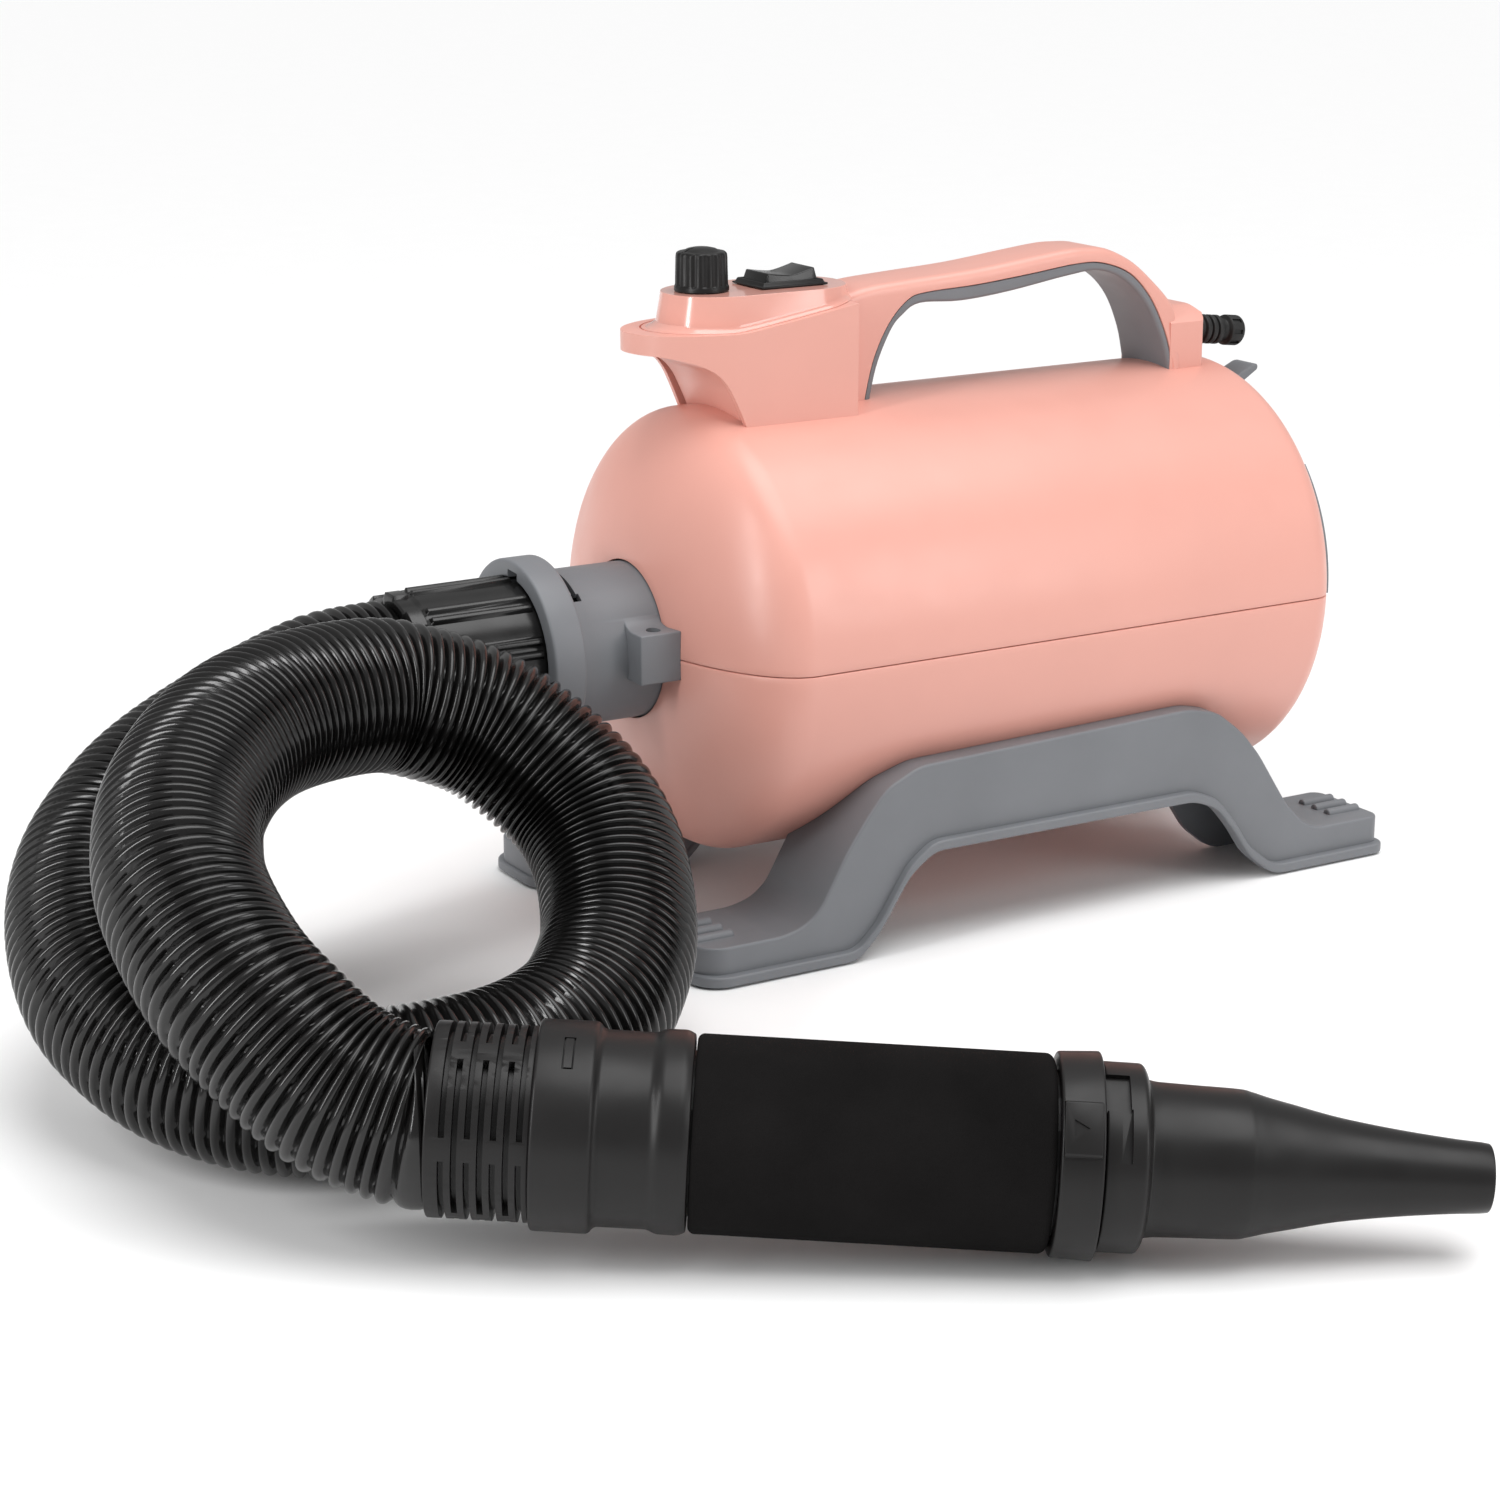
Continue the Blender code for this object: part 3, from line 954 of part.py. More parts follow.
def build_motor(axis):
    rotor = empty("rotor_pivot", axis)
    turned("motor_shaft", disc_outline((-0.0440, 0.1015), SHAFT_R), "steel", rotor, 16)
    bore = SHAFT_R + GAP
    core = prism("armature_core", gear_outline(SLOTS, 0.0205, ARMATURE_R), MOTOR_STACK[0], MOTOR_STACK[1],
                 "steel", rotor, "YZ")
    hole = turned_bmesh(disc_outline((-0.05, 0.05), bore), 10, "X")
    boolean(core, cutter("core_bore", finish(hole, "core_bore"), rotor))
    front, rear = MOTOR_STACK[0] - 0.0085, MOTOR_STACK[1] + 0.0085
    ends = bmesh.new()
    for low, high in ((front, MOTOR_STACK[0] - GAP), (MOTOR_STACK[1] + GAP, rear)):
        turned_bmesh([(low, bore), (low, 0.0200), (low + 0.002, 0.0235), (high - 0.002, 0.0245),
                      (high, 0.0240), (high, bore)], SMALL_FACETS, "X", bm=ends)
    winding = add_object("armature_winding", finish(ends, "armature_winding"), "copper", rotor)
    bars = bmesh.new()
    for slot in range(SLOTS):
        bar = box_bmesh((MOTOR_STACK[0] - 0.003, -0.0011, 0.0212), (MOTOR_STACK[1] + 0.003, 0.0011, 0.0232))
        add_copy(bars, bar, Matrix.Rotation(math.pi / 2 + math.pi * (2 * slot + 1) / SLOTS, 4, "X"))
    boolean(winding, cutter("winding_bars", finish(bars, "winding_bars"), rotor), "UNION")
    turned("commutator", tube_outline((-0.0335, -0.0212), bore, 0.0112), "copper", rotor, SMALL_FACETS)

    for name, x in (("impeller_front", 0.0640), ("impeller_rear", 0.0850)):
        plates = turned_bmesh([(x, bore), (x, 0.0090), (x + 0.0012, 0.0095), (x + 0.0012, IMPELLER_R),
                               (x + 0.0022, IMPELLER_R), (x + 0.0022, 0.0100), (x + 0.0120, 0.0090),
                               (x + 0.0120, bore)], 20, "X")
        turned_bmesh([(x + 0.0120, 0.0210), (x + 0.0075, IMPELLER_R), (x + 0.0085, IMPELLER_R),
                      (x + 0.0130, 0.0215)], 20, "X", bm=plates)
        wheel = add_object(name, finish(plates, name), "aluminium", rotor)
        blades = bmesh.new()
        for blade in range(6):
            turn = 2 * math.pi * blade / 6
            inner_side, outer_side = [], []
            for step in range(4):
                part = step / 3
                radius = 0.0225 + (IMPELLER_R - 0.0015 - 0.0225) * part
                angle = turn + 0.9 * part ** 0.9
                inner_side.append((radius * math.cos(angle), radius * math.sin(angle)))
                outer_side.append((radius * math.cos(angle + 0.0012 / radius),
                                   radius * math.sin(angle + 0.0012 / radius)))
            prism_bmesh(inner_side + list(reversed(outer_side)), x + 0.0018, x + 0.0081, "YZ", blades)
        boolean(wheel, cutter(name + "_blades", finish(blades, name + "_blades"), rotor), "UNION")

    can = [(FAN_CAN[1], 0.0220), (FAN_CAN[1], FAN_CAN_R), (FAN_CAN[0], FAN_CAN_R),
           (FAN_CAN[0], FAN_CAN_R - 0.0012), (FAN_CAN[1] - 0.0012, FAN_CAN_R - 0.0012),
           (FAN_CAN[1] - 0.0012, 0.0220)]
    turned("fan_can", can, "aluminium", axis)
    turned("stage_diffuser", [(0.0792, 0.0180), (0.0792, FAN_CAN_R - 0.0016), (0.0804, FAN_CAN_R - 0.0016),
                              (0.0804, 0.0180)], "aluminium", axis)
    ring = turned_bmesh([(0.0545, 0.0560), (0.0545, 0.0675), (0.0575, 0.0675), (0.0575, 0.0560)], 20, "X")
    turned_bmesh([(0.0440, 0.0113), (0.0440, 0.0150), (0.0575, 0.0150), (0.0575, 0.0060),
                  (0.0565, 0.0060), (0.0565, 0.0113)], SMALL_FACETS, "X", bm=ring)
    bracket = add_object("rear_bracket", finish(ring, "rear_bracket"), "aluminium", axis)
    spokes = [(y, z - BODY_Z) for y, z in star_outline(6, 0.0120, 0.0600, 0.0045)]
    hub = prism_bmesh(spokes, 0.0550, 0.0570, "YZ")
    spoke_tool = cutter("bracket_spokes", finish(hub, "bracket_spokes"), axis)
    eye = turned_bmesh(disc_outline((0.04, 0.07), 0.0125), SMALL_FACETS, "X")
    boolean(spoke_tool, cutter("bracket_eye", finish(eye, "bracket_eye"), axis))
    boolean(bracket, spoke_tool, "UNION")
    turned("bearing_rear", tube_outline((0.0470, 0.0540), SHAFT_R + GAP, 0.0110), "steel", axis, SMALL_FACETS)
    turned("bearing_front", tube_outline((-0.0425, -0.0365), SHAFT_R + GAP, 0.0095), "steel", axis,
           SMALL_FACETS)

    end = turned_bmesh([(-0.0455, 0.0060), (-0.0455, 0.0130), (-0.0362, 0.0130), (-0.0362, 0.0098),
                        (-0.0430, 0.0098), (-0.0430, 0.0060)], SMALL_FACETS, "X")
    turned_bmesh(tube_outline((-0.0240, -0.0145), 0.0420, 0.0460), 20, "X", bm=end)
    bracket = add_object("front_bracket", finish(end, "front_bracket"), "aluminium", axis)
    arms, boxes, slots = bmesh.new(), bmesh.new(), bmesh.new()
    for quarter in range(4):
        arm = prism_bmesh([(-0.0440, 0.0110), (-0.0390, 0.0110), (-0.0245, 0.0405), (-0.0150, 0.0425),
                           (-0.0150, 0.0455), (-0.0240, 0.0455)], -0.0045, 0.0045, "XZ")
        add_copy(arms, arm, Matrix.Rotation(math.radians(90 * quarter), 4, "X"))
    for hand, side in (("right", -1), ("left", 1)):
        low, high = sorted((side * 0.0116, side * 0.0240))
        box(f"carbon_brush_{hand}", (-0.0310, low, -0.0025), (-0.0240, high, 0.0025), "carbon", axis)
        low, high = sorted((side * 0.0140, side * 0.0270))
        box_bmesh((-0.0330, low, -0.0047), (-0.0220, high, 0.0047), boxes)
        low, high = sorted((side * 0.0100, side * 0.0250))
        box_bmesh((-0.0310 - GAP, low, -0.0025 - GAP), (-0.0240 + GAP, high, 0.0025 + GAP), slots)
    boolean(bracket, cutter("bracket_arms", finish(arms, "bracket_arms"), axis), "UNION")
    boolean(bracket, cutter("brush_boxes", finish(boxes, "brush_boxes"), axis), "UNION")
    boolean(bracket, cutter("brush_slots", finish(slots, "brush_slots"), axis))

    poles, slot_r, half_pole = ARMATURE_R + 0.0006, 0.0385, 48
    plan = []
    for pole in (0, 180):
        for step in range(9):
            angle = math.radians(90 + pole - half_pole + 2 * half_pole * step / 8)
            plan.append((poles * math.cos(angle), poles * math.sin(angle)))
        for step in range(5):
            angle = math.radians(90 + pole + half_pole + (180 - 2 * half_pole) * step / 4)
            plan.append((slot_r * math.cos(angle), slot_r * math.sin(angle)))
    stator = turned("stator_core", disc_outline(MOTOR_STACK, STATOR_R), "steel", axis, FACETS)
    bore_tool = cutter("stator_bore", finish(prism_bmesh(plan, -0.05, 0.06, "YZ"), "stator_bore"), axis)
    boolean(stator, bore_tool)
    window = (half_pole + 3, MOTOR_STACK[0] - 0.0010, MOTOR_STACK[1] + 0.0010)
    outside = (half_pole + 34, MOTOR_STACK[0] - 0.0095, MOTOR_STACK[1] + 0.0095)
    for name, lean in (("field_coil_upper", 0.0), ("field_coil_lower", math.pi)):
        coil = bmesh.new()
        curved_frame(coil, (0.0285, 0.0370), window, outside)
        bmesh.ops.transform(coil, matrix=Matrix.Rotation(lean, 4, "X"), verts=coil.verts)
        add_object(name, finish(coil, name), "copper", axis)

    cradle = turned_bmesh(tube_outline((-0.0040, 0.0060), STATOR_R + GAP, 0.0500), FACETS, "X")
    turned_bmesh(tube_outline((-0.0040, 0.0060), 0.0880, BODY_R - WALL - 2 * GAP), FACETS, "X", bm=cradle)
    piece = add_object("motor_cradle", finish(cradle, "motor_cradle"), "rubber", axis)
    bars = bmesh.new()
    for quarter in range(4):
        bar = box_bmesh((-0.0030, -0.0050, 0.0480), (0.0050, 0.0050, 0.0900))
        bmesh.ops.transform(bar, matrix=Matrix.Rotation(math.radians(45 + 90 * quarter), 4, "X"),
                            verts=bar.verts)
        add_copy(bars, bar)
    boolean(piece, cutter("cradle_bars", finish(bars, "cradle_bars"), axis), "UNION")

    gasket = turned("fan_gasket", tube_outline((0.0800, 0.0920), FAN_CAN_R + GAP, BODY_R - WALL - 2 * GAP),
                    "rubber", axis)
    hole = turned_bmesh(disc_outline((0.07, 0.10), 0.0026), 8, "X")
    bmesh.ops.transform(hole, matrix=Matrix.Translation((0, 0, 0.0780)), verts=hole.verts)
    boolean(gasket, cutter("gasket_hole", finish(hole, "gasket_hole"), axis))
    turned("acoustic_foam", tube_outline((-0.0600, -0.0120), 0.0840, BODY_R - WALL - 2 * GAP),
           "filter_foam", axis)


def build_heater(axis):
    cross = [(y, z - BODY_Z) for y, z in star_outline(4, 0.0011, 0.0300, 0.0010)]
    frame = prism("heater_frame", cross, -0.1180, -0.0700, "mica", axis, "YZ")
    rim = turned_bmesh(tube_outline((-0.1180, -0.1150), 0.0285, 0.0340), 20, "X")
    boolean(frame, cutter("heater_rim", finish(rim, "heater_rim"), axis), "UNION")
    turns, per_turn, radius = 4, 12, 0.0322
    points = []
    for step in range(turns * per_turn + 1):
        angle = 2 * math.pi * step / per_turn
        points.append((-0.1120 + 0.0360 * step / (turns * per_turn), radius * math.cos(angle),
                       radius * math.sin(angle)))
    tube("heater_coil", points, 0.0008, "steel", axis, resolution=0)


def build_leads(dryer):
    top = BODY_Z + 0.0780
    supply = [(0.1222, 0, GLAND_AXIS_Z - 0.0010), (0.1224, 0, 0.2290), (0.1230, 0, 0.2230),
              (0.1232, 0, 0.2160), (0.1205, 0, 0.2085), (0.1130, 0, top + 0.0008), (0.1000, 0, top),
              (0.0700, 0, top), (0.0300, 0, top), (-0.0300, 0, top), (-0.0750, 0, top),
              (-0.0880, 0, top + 0.0025),
              (-0.0940, 0, 0.2110), (-0.0960, 0, 0.2200), (-0.0960, 0, 0.2318)]
    tube("supply_lead", smooth_route(supply, 0.014), 0.0019, "black_plastic", dryer, resolution=1)


clear_scene()
materials = {name: make_material(name) for name in COLOURS}
dryer = empty("dryer_frame", None, ORIGIN)
body_axis = body_centre(dryer)
build_shells(body_axis)
build_screws(body_axis)
build_outlet(body_axis)
build_cuff(body_axis)
build_hose(dryer)
build_wand(dryer)
build_stand(dryer, body_axis)
build_pod(dryer, body_axis)
build_controls(dryer)
build_handle(dryer, body_axis)
build_rear(body_axis)
build_motor(body_axis)
build_heater(body_axis)
build_leads(dryer)
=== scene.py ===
"""Pet dryer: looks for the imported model. Shapes are built in the dryer's own frame and moved onto the CAD."""

import json
import math

import bmesh
import bpy
from mathutils import Matrix, Vector


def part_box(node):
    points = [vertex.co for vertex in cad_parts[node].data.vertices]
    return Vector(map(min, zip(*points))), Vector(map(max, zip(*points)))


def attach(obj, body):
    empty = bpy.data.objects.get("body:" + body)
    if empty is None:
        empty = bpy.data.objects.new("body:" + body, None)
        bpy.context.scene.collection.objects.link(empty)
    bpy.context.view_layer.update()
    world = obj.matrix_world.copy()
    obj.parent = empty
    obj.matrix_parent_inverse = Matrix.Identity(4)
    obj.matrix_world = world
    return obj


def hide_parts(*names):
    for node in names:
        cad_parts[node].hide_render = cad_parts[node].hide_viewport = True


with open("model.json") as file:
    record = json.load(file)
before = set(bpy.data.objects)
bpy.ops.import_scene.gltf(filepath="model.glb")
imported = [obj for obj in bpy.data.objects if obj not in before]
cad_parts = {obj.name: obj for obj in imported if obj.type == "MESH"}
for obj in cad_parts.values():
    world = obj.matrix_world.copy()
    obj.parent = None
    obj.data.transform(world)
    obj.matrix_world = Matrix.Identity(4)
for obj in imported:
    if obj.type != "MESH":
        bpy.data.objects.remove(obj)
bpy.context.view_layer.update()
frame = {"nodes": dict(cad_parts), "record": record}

# ---------------------------------------------------------------- places, from the CAD
skid_low, skid_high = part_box("stand_left")
shell_low, shell_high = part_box("upper_shell")
ORIGIN = Vector(((skid_low[0] + skid_high[0]) / 2, (shell_low[1] + shell_high[1]) / 2, 0))
HOME = Matrix.Translation(ORIGIN)
BODY_Z = 0.1255
BODY_R = (shell_high[1] - shell_low[1]) / 2
DOME_X, DOME_DEPTH, TAIL_X, TAIL_DEPTH, WALL = -0.126, 0.0395, 0.135, 0.030, 0.0028
PANEL_Z = 0.2700
KNOB_X, SWITCH_X = -0.1250, -0.0868
SKID_IN, SKID_OUT, SKID_LIP, SKID_END, SKID_BASE = 0.050, 0.095, 0.0988, 0.180, 0.0008
HOSE_R = 0.030
CLEAR = 0.0002                     # between pieces that meet
WAND_TAIL = Vector((-0.3800, -0.2606, 0.0470))
WAND = Matrix.Translation(WAND_TAIL) @ Matrix.Rotation(math.radians(-32.08), 4, "Z") \
    @ Matrix.Rotation(math.radians(3.01), 4, "Y")
ALONG_X = Matrix(((0, 0, 1), (1, 0, 0), (0, 1, 0))).to_4x4()
BODY = Matrix.Translation((0, 0, BODY_Z)) @ ALONG_X


# ---------------------------------------------------------------- materials
def noise(tree, coords, scale, detail=2.0, rough=0.5):
    node = tree.nodes.new("ShaderNodeTexNoise")
    node.inputs["Scale"].default_value = scale
    node.inputs["Detail"].default_value = detail
    node.inputs["Roughness"].default_value = rough
    tree.links.new(coords, node.inputs["Vector"])
    return node.outputs["Fac"]


def spread(tree, value, low, high):
    node = tree.nodes.new("ShaderNodeMapRange")
    node.inputs["From Min"].default_value = 0.3
    node.inputs["From Max"].default_value = 0.7
    node.inputs["To Min"].default_value = low
    node.inputs["To Max"].default_value = high
    tree.links.new(value, node.inputs["Value"])
    return node.outputs["Result"]


def look(name, colour, roughness, metallic=0.0, vary=0.05, grain=1400.0, bump=0.12, depth=0.0001, coat=0.0,
         uneven=0.05, specular=0.5, wave=0.0):
    """Moulded plastic, rubber, foam or metal: slight colour clouds, uneven gloss and a fine surface grain."""
    material = bpy.data.materials.new(name)
    material.use_nodes = True
    tree = material.node_tree
    shader = tree.nodes["Principled BSDF"]
    shader.inputs["Metallic"].default_value = metallic
    shader.inputs["Coat Weight"].default_value = coat
    shader.inputs["Coat Roughness"].default_value = 0.12
    shader.inputs["Specular IOR Level"].default_value = specular
    coords = tree.nodes.new("ShaderNodeTexCoord").outputs["Object"]
    ramp = tree.nodes.new("ShaderNodeValToRGB")
    ramp.color_ramp.elements[0].position = 0.3
    ramp.color_ramp.elements[1].position = 0.7
    ramp.color_ramp.elements[0].color = [part * (1 - vary) for part in colour] + [1]
    ramp.color_ramp.elements[1].color = [min(1.0, part * (1 + vary)) for part in colour] + [1]
    tree.links.new(noise(tree, coords, 24.0, 4.0), ramp.inputs["Fac"])
    tree.links.new(ramp.outputs["Color"], shader.inputs["Base Color"])
    gloss = spread(tree, noise(tree, coords, 60.0, 3.0), roughness - uneven, roughness + uneven)
    tree.links.new(gloss, shader.inputs["Roughness"])
    height = tree.nodes.new("ShaderNodeBump")
    height.inputs["Strength"].default_value = bump
    height.inputs["Distance"].default_value = depth
    tree.links.new(noise(tree, coords, grain, 3.0, 0.6), height.inputs["Height"])
    last = height
    if wave:
        soft = tree.nodes.new("ShaderNodeBump")
        soft.inputs["Strength"].default_value = wave
        soft.inputs["Distance"].default_value = 0.0006
        tree.links.new(noise(tree, coords, 38.0, 1.0), soft.inputs["Height"])
        tree.links.new(last.outputs["Normal"], soft.inputs["Normal"])
        last = soft
    tree.links.new(last.outputs["Normal"], shader.inputs["Normal"])
    return material


PINK = (0.73, 0.355, 0.292)
GREY = (0.176, 0.183, 0.196)
LOOKS = {
    "pink_shell": look("pink_shell", PINK, 0.34, vary=0.015, grain=2200, bump=0.05, wave=0.03),
    "pink_gloss": look("pink_gloss", PINK, 0.14, vary=0.015, grain=2200, bump=0.02, coat=0.4),
    "grey_trim": look("grey_trim", GREY, 0.44, vary=0.05, grain=1900, bump=0.20, specular=0.35),
    "black_plastic": look("black_plastic", (0.0080, 0.0074, 0.0074), 0.38, vary=0.12, grain=1700, bump=0.12,
                          specular=0.30),
    "black_gloss": look("black_gloss", (0.0080, 0.0078, 0.0078), 0.22, vary=0.10, grain=1500, bump=0.06,
                        specular=0.40),
    "black_hose": look("black_hose", (0.0060, 0.0057, 0.0056), 0.17, vary=0.15, grain=600, bump=0.05,
                       uneven=0.04, specular=0.42),
    "foam": look("foam", (0.0072, 0.0066, 0.0066), 0.95, vary=0.25, grain=2600, bump=0.85, depth=0.0004,
                 uneven=0.03, specular=0.08),
    "rubber": look("rubber", (0.012, 0.012, 0.012), 0.55, vary=0.15, grain=1500, bump=0.25, specular=0.35),
    "filter_foam": look("filter_foam", (0.030, 0.030, 0.032), 0.95, vary=0.5, grain=700, bump=1.0,
                        depth=0.0010),
    "steel": look("steel", (0.55, 0.56, 0.58), 0.34, 1.0, grain=900),
    "zinc": look("zinc", (0.62, 0.63, 0.66), 0.42, 1.0, grain=900),
    "aluminium": look("aluminium", (0.72, 0.73, 0.74), 0.40, 1.0, grain=900),
    "copper": look("copper", (0.72, 0.33, 0.16), 0.38, 1.0, grain=1200, bump=0.4),
    "carbon": look("carbon", (0.03, 0.03, 0.032), 0.7, grain=1500, bump=0.4),
    "mica": look("mica", (0.55, 0.47, 0.33), 0.6, vary=0.2, grain=300, bump=0.3),
    "circuit_board": look("circuit_board", (0.02, 0.16, 0.07), 0.45, vary=0.2, grain=300),
}


# ---------------------------------------------------------------- shape helpers
def rounded(outline, radius, steps=3):
    """A closed outline with its corners turned into arcs."""
    points = []
    count = len(outline)
    for index in range(count):
        before, here, after = (Vector(outline[(index + shift) % count][:2]) for shift in (-1, 0, 1))
        size = outline[index][2] if len(outline[index]) > 2 else radius
        size = min(size, 0.45 * (before - here).length, 0.45 * (after - here).length)
        if size < 1e-5:
            points.append(tuple(here))
            continue
        first = here + (before - here).normalized() * size
        last = here + (after - here).normalized() * size
        for step in range(steps + 1):
            t = step / steps
            point = first * (1 - t) ** 2 + here * 2 * t * (1 - t) + last * t ** 2
            points.append((point.x, point.y))
    return points


def flowing(points, steps=5):
    """A smooth open line through the points."""
    line = [Vector(point) for point in points]
    padded = [2 * line[0] - line[1]] + line + [2 * line[-1] - line[-2]]
    out = []
    for index in range(1, len(padded) - 2):
        p, a, b, q = padded[index - 1:index + 3]
        for step in range(steps):
            t = step / steps
            out.append(0.5 * (2 * a + (b - p) * t + (2 * p - 5 * a + 4 * b - q) * t * t
                              + (3 * a - p - 3 * b + q) * t ** 3))
    return [tuple(point) for point in out] + [tuple(line[-1])]


def lathe(outline, facets=96, start=0.0, sweep=360.0, bm=None):
    """Turn a closed outline of (along, radius) points about local Z."""
    bm = bm or bmesh.new()
    whole = sweep > 359.9
    loops = []
    poles = {}
    for step in range(facets + (0 if whole else 1)):
        angle = math.radians(start + sweep * step / facets)
        loop = []
        for index, (along, radius) in enumerate(outline):
            if radius < 1e-7:
                if index not in poles:
                    poles[index] = bm.verts.new((0, 0, along))
                loop.append(poles[index])
            else:
                loop.append(bm.verts.new((radius * math.cos(angle), radius * math.sin(angle), along)))
        loops.append(loop)
    for step in range(facets):
        here, there = loops[step], loops[(step + 1) % len(loops)]
        for index in range(len(outline)):
            after = (index + 1) % len(outline)
            corners = []
            for vert in (here[index], here[after], there[after], there[index]):
                if vert not in corners:
                    corners.append(vert)
            if len(corners) > 2:
                bm.faces.new(corners)
    if not whole:
        bm.faces.new(loops[0])
        bm.faces.new(list(reversed(loops[-1])))
    return bm


def prism(outline, low, high, plane="XZ", weights=None, bm=None):
    """Extrude a closed outline. Weights, one for each edge, say how much a weighted bevel rounds it."""
    bm = bm or bmesh.new()
    order = {"XZ": (0, 2, 1), "XY": (0, 1, 2), "YZ": (2, 0, 1)}[plane]
    ends = []
    for level in (low, high):
        points = [(*point[:2], level) for point in outline]
        ends.append([bm.verts.new([point[place] for place in order]) for point in points])
    faces = [bm.faces.new(ends[0]), bm.faces.new(list(reversed(ends[1])))]
    count = len(outline)
    for index in range(count):
        after = (index + 1) % count
        faces.append(bm.faces.new((ends[0][index], ends[1][index], ends[1][after], ends[0][after])))
    if weights:
        layer = bm.edges.layers.float.new("bevel_weight_edge")
        for end in ends:
            for index in range(count):
                edge = bm.edges.get((end[index], end[(index + 1) % count]))
                edge[layer] = weights[index]
    return bm


def block(low, high, bm=None, matrix=None):
    corners = [(low[0], low[1]), (high[0], low[1]), (high[0], high[1]), (low[0], high[1])]
    new = prism(corners, low[2], high[2], "XY")
    if not bm:
        return moved(new, matrix) if matrix else new
    return join(bm, new, matrix)


def moved(bm, matrix):
    bmesh.ops.transform(bm, matrix=matrix, verts=bm.verts)
    return bm


def join(target, new, matrix=None):
    """Add the solid `new` to `target`."""
    if matrix:
        moved(new, matrix)
    bmesh.ops.recalc_face_normals(new, faces=new.faces)
    mesh = bpy.data.meshes.new("part")
    new.to_mesh(mesh)
    new.free()
    target.from_mesh(mesh)
    bpy.data.meshes.remove(mesh)
    return target


def solid(name, bm, matrix=None):
    """An object from a bmesh in the dryer's frame, or in `matrix`'s own frame."""
    if matrix:
        moved(bm, matrix)
    moved(bm, HOME)
    bmesh.ops.recalc_face_normals(bm, faces=bm.faces)
    mesh = bpy.data.meshes.new(name)
    bm.to_mesh(mesh)
    bm.free()
    piece = bpy.data.objects.new(name, mesh)
    bpy.context.scene.collection.objects.link(piece)
    return piece


def settle(piece):
    """Apply the piece's modifiers."""
    graph = bpy.context.evaluated_depsgraph_get()
    mesh = bpy.data.meshes.new_from_object(piece.evaluated_get(graph))
    piece.modifiers.clear()
    old = piece.data
    piece.data = mesh
    bpy.data.meshes.remove(old)


def combine(piece, tool, operation="DIFFERENCE", self_overlap=False):
    modifier = piece.modifiers.new("join", "BOOLEAN")
    modifier.operation = operation
    modifier.solver = "EXACT"
    modifier.use_self = self_overlap
    modifier.object = tool
    settle(piece)
    mesh = tool.data
    bpy.data.objects.remove(tool)
    bpy.data.meshes.remove(mesh)


def soften(piece, width, segments=3, angle=40, weighted=False):
    modifier = piece.modifiers.new("edges", "BEVEL")
    modifier.width = width
    modifier.segments = segments
    modifier.limit_method = "WEIGHT" if weighted else "ANGLE"
    modifier.angle_limit = math.radians(angle)
    modifier.harden_normals = False
    settle(piece)


def show(piece, finish, body, *nodes, slot=None, smooth=38, flat=False):
    """Give the piece its look, its body and the CAD nodes it stands for."""
    mesh = piece.data
    mesh.materials.clear()
    mesh.materials.append(LOOKS[finish])
    mesh.shade_smooth()
    mesh.set_sharp_from_angle(angle=math.radians(smooth))
    if flat:
        weighted = piece.modifiers.new("even_faces", "WEIGHTED_NORMAL")
        weighted.keep_sharp = True
    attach(piece, body)
    if nodes:
        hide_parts(*nodes)
    return piece


# ---------------------------------------------------------------- camera and hose
camera_data = bpy.data.cameras.new("camera")
camera_data.lens = 78.48
camera_data.sensor_width = 36.0
camera = bpy.data.objects.new("camera", camera_data)
camera.location = ORIGIN + Vector((-0.806, -1.179, 0.468))
camera.rotation_euler = (math.radians(73.73), 0, math.radians(-30.86))
bpy.context.scene.collection.objects.link(camera)
bpy.context.scene.camera = camera

HOSE_ROUTE = [
    (-0.2725, 0.000, 0.1255), (-0.290, 0.000, 0.1250), (-0.307, -0.001, 0.123), (-0.342, -0.008, 0.113),
    (-0.378, -0.020, 0.101), (-0.402, -0.035, 0.090), (-0.420, -0.053, 0.079), (-0.432, -0.077, 0.067),
    (-0.437, -0.102, 0.055), (-0.435, -0.123, 0.047), (-0.425, -0.149, 0.038), (-0.407, -0.172, 0.033),
    (-0.382, -0.189, 0.031), (-0.352, -0.198, 0.031), (-0.315, -0.197, 0.032), (-0.281, -0.182, 0.036),
    (-0.258, -0.161, 0.045), (-0.245, -0.143, 0.055), (-0.235, -0.116, 0.074), (-0.239, -0.093, 0.094),
    (-0.262, -0.071, 0.118), (-0.288, -0.063, 0.130), (-0.311, -0.062, 0.136), (-0.354, -0.075, 0.137),
    (-0.385, -0.095, 0.132), (-0.409, -0.122, 0.123), (-0.421, -0.145, 0.114), (-0.428, -0.169, 0.104),
    (-0.427, -0.199, 0.087), (-0.420, -0.218, 0.074), (-0.405, -0.240, 0.056), (-0.3868, -0.2564, 0.0474),
    (-0.3803, -0.2604, 0.0470),
]


def even_line(points, spacing):
    line = [Vector(point) for point in flowing(points, 24)]
    for _ in range(40):
        line = [line[0]] + [(a + 2 * b + c) / 4 for a, b, c in zip(line, line[1:], line[2:])] + [line[-1]]
    lengths = [0.0]
    for a, b in zip(line, line[1:]):
        lengths.append(lengths[-1] + (b - a).length)
    count = round(lengths[-1] / spacing)
    out = []
    index = 0
    for step in range(count + 1):
        target = lengths[-1] * step / count
        while index < len(lengths) - 2 and lengths[index + 1] < target:
            index += 1
        share = (target - lengths[index]) / (lengths[index + 1] - lengths[index])
        out.append(line[index].lerp(line[index + 1], share))
    return out, lengths[-1]


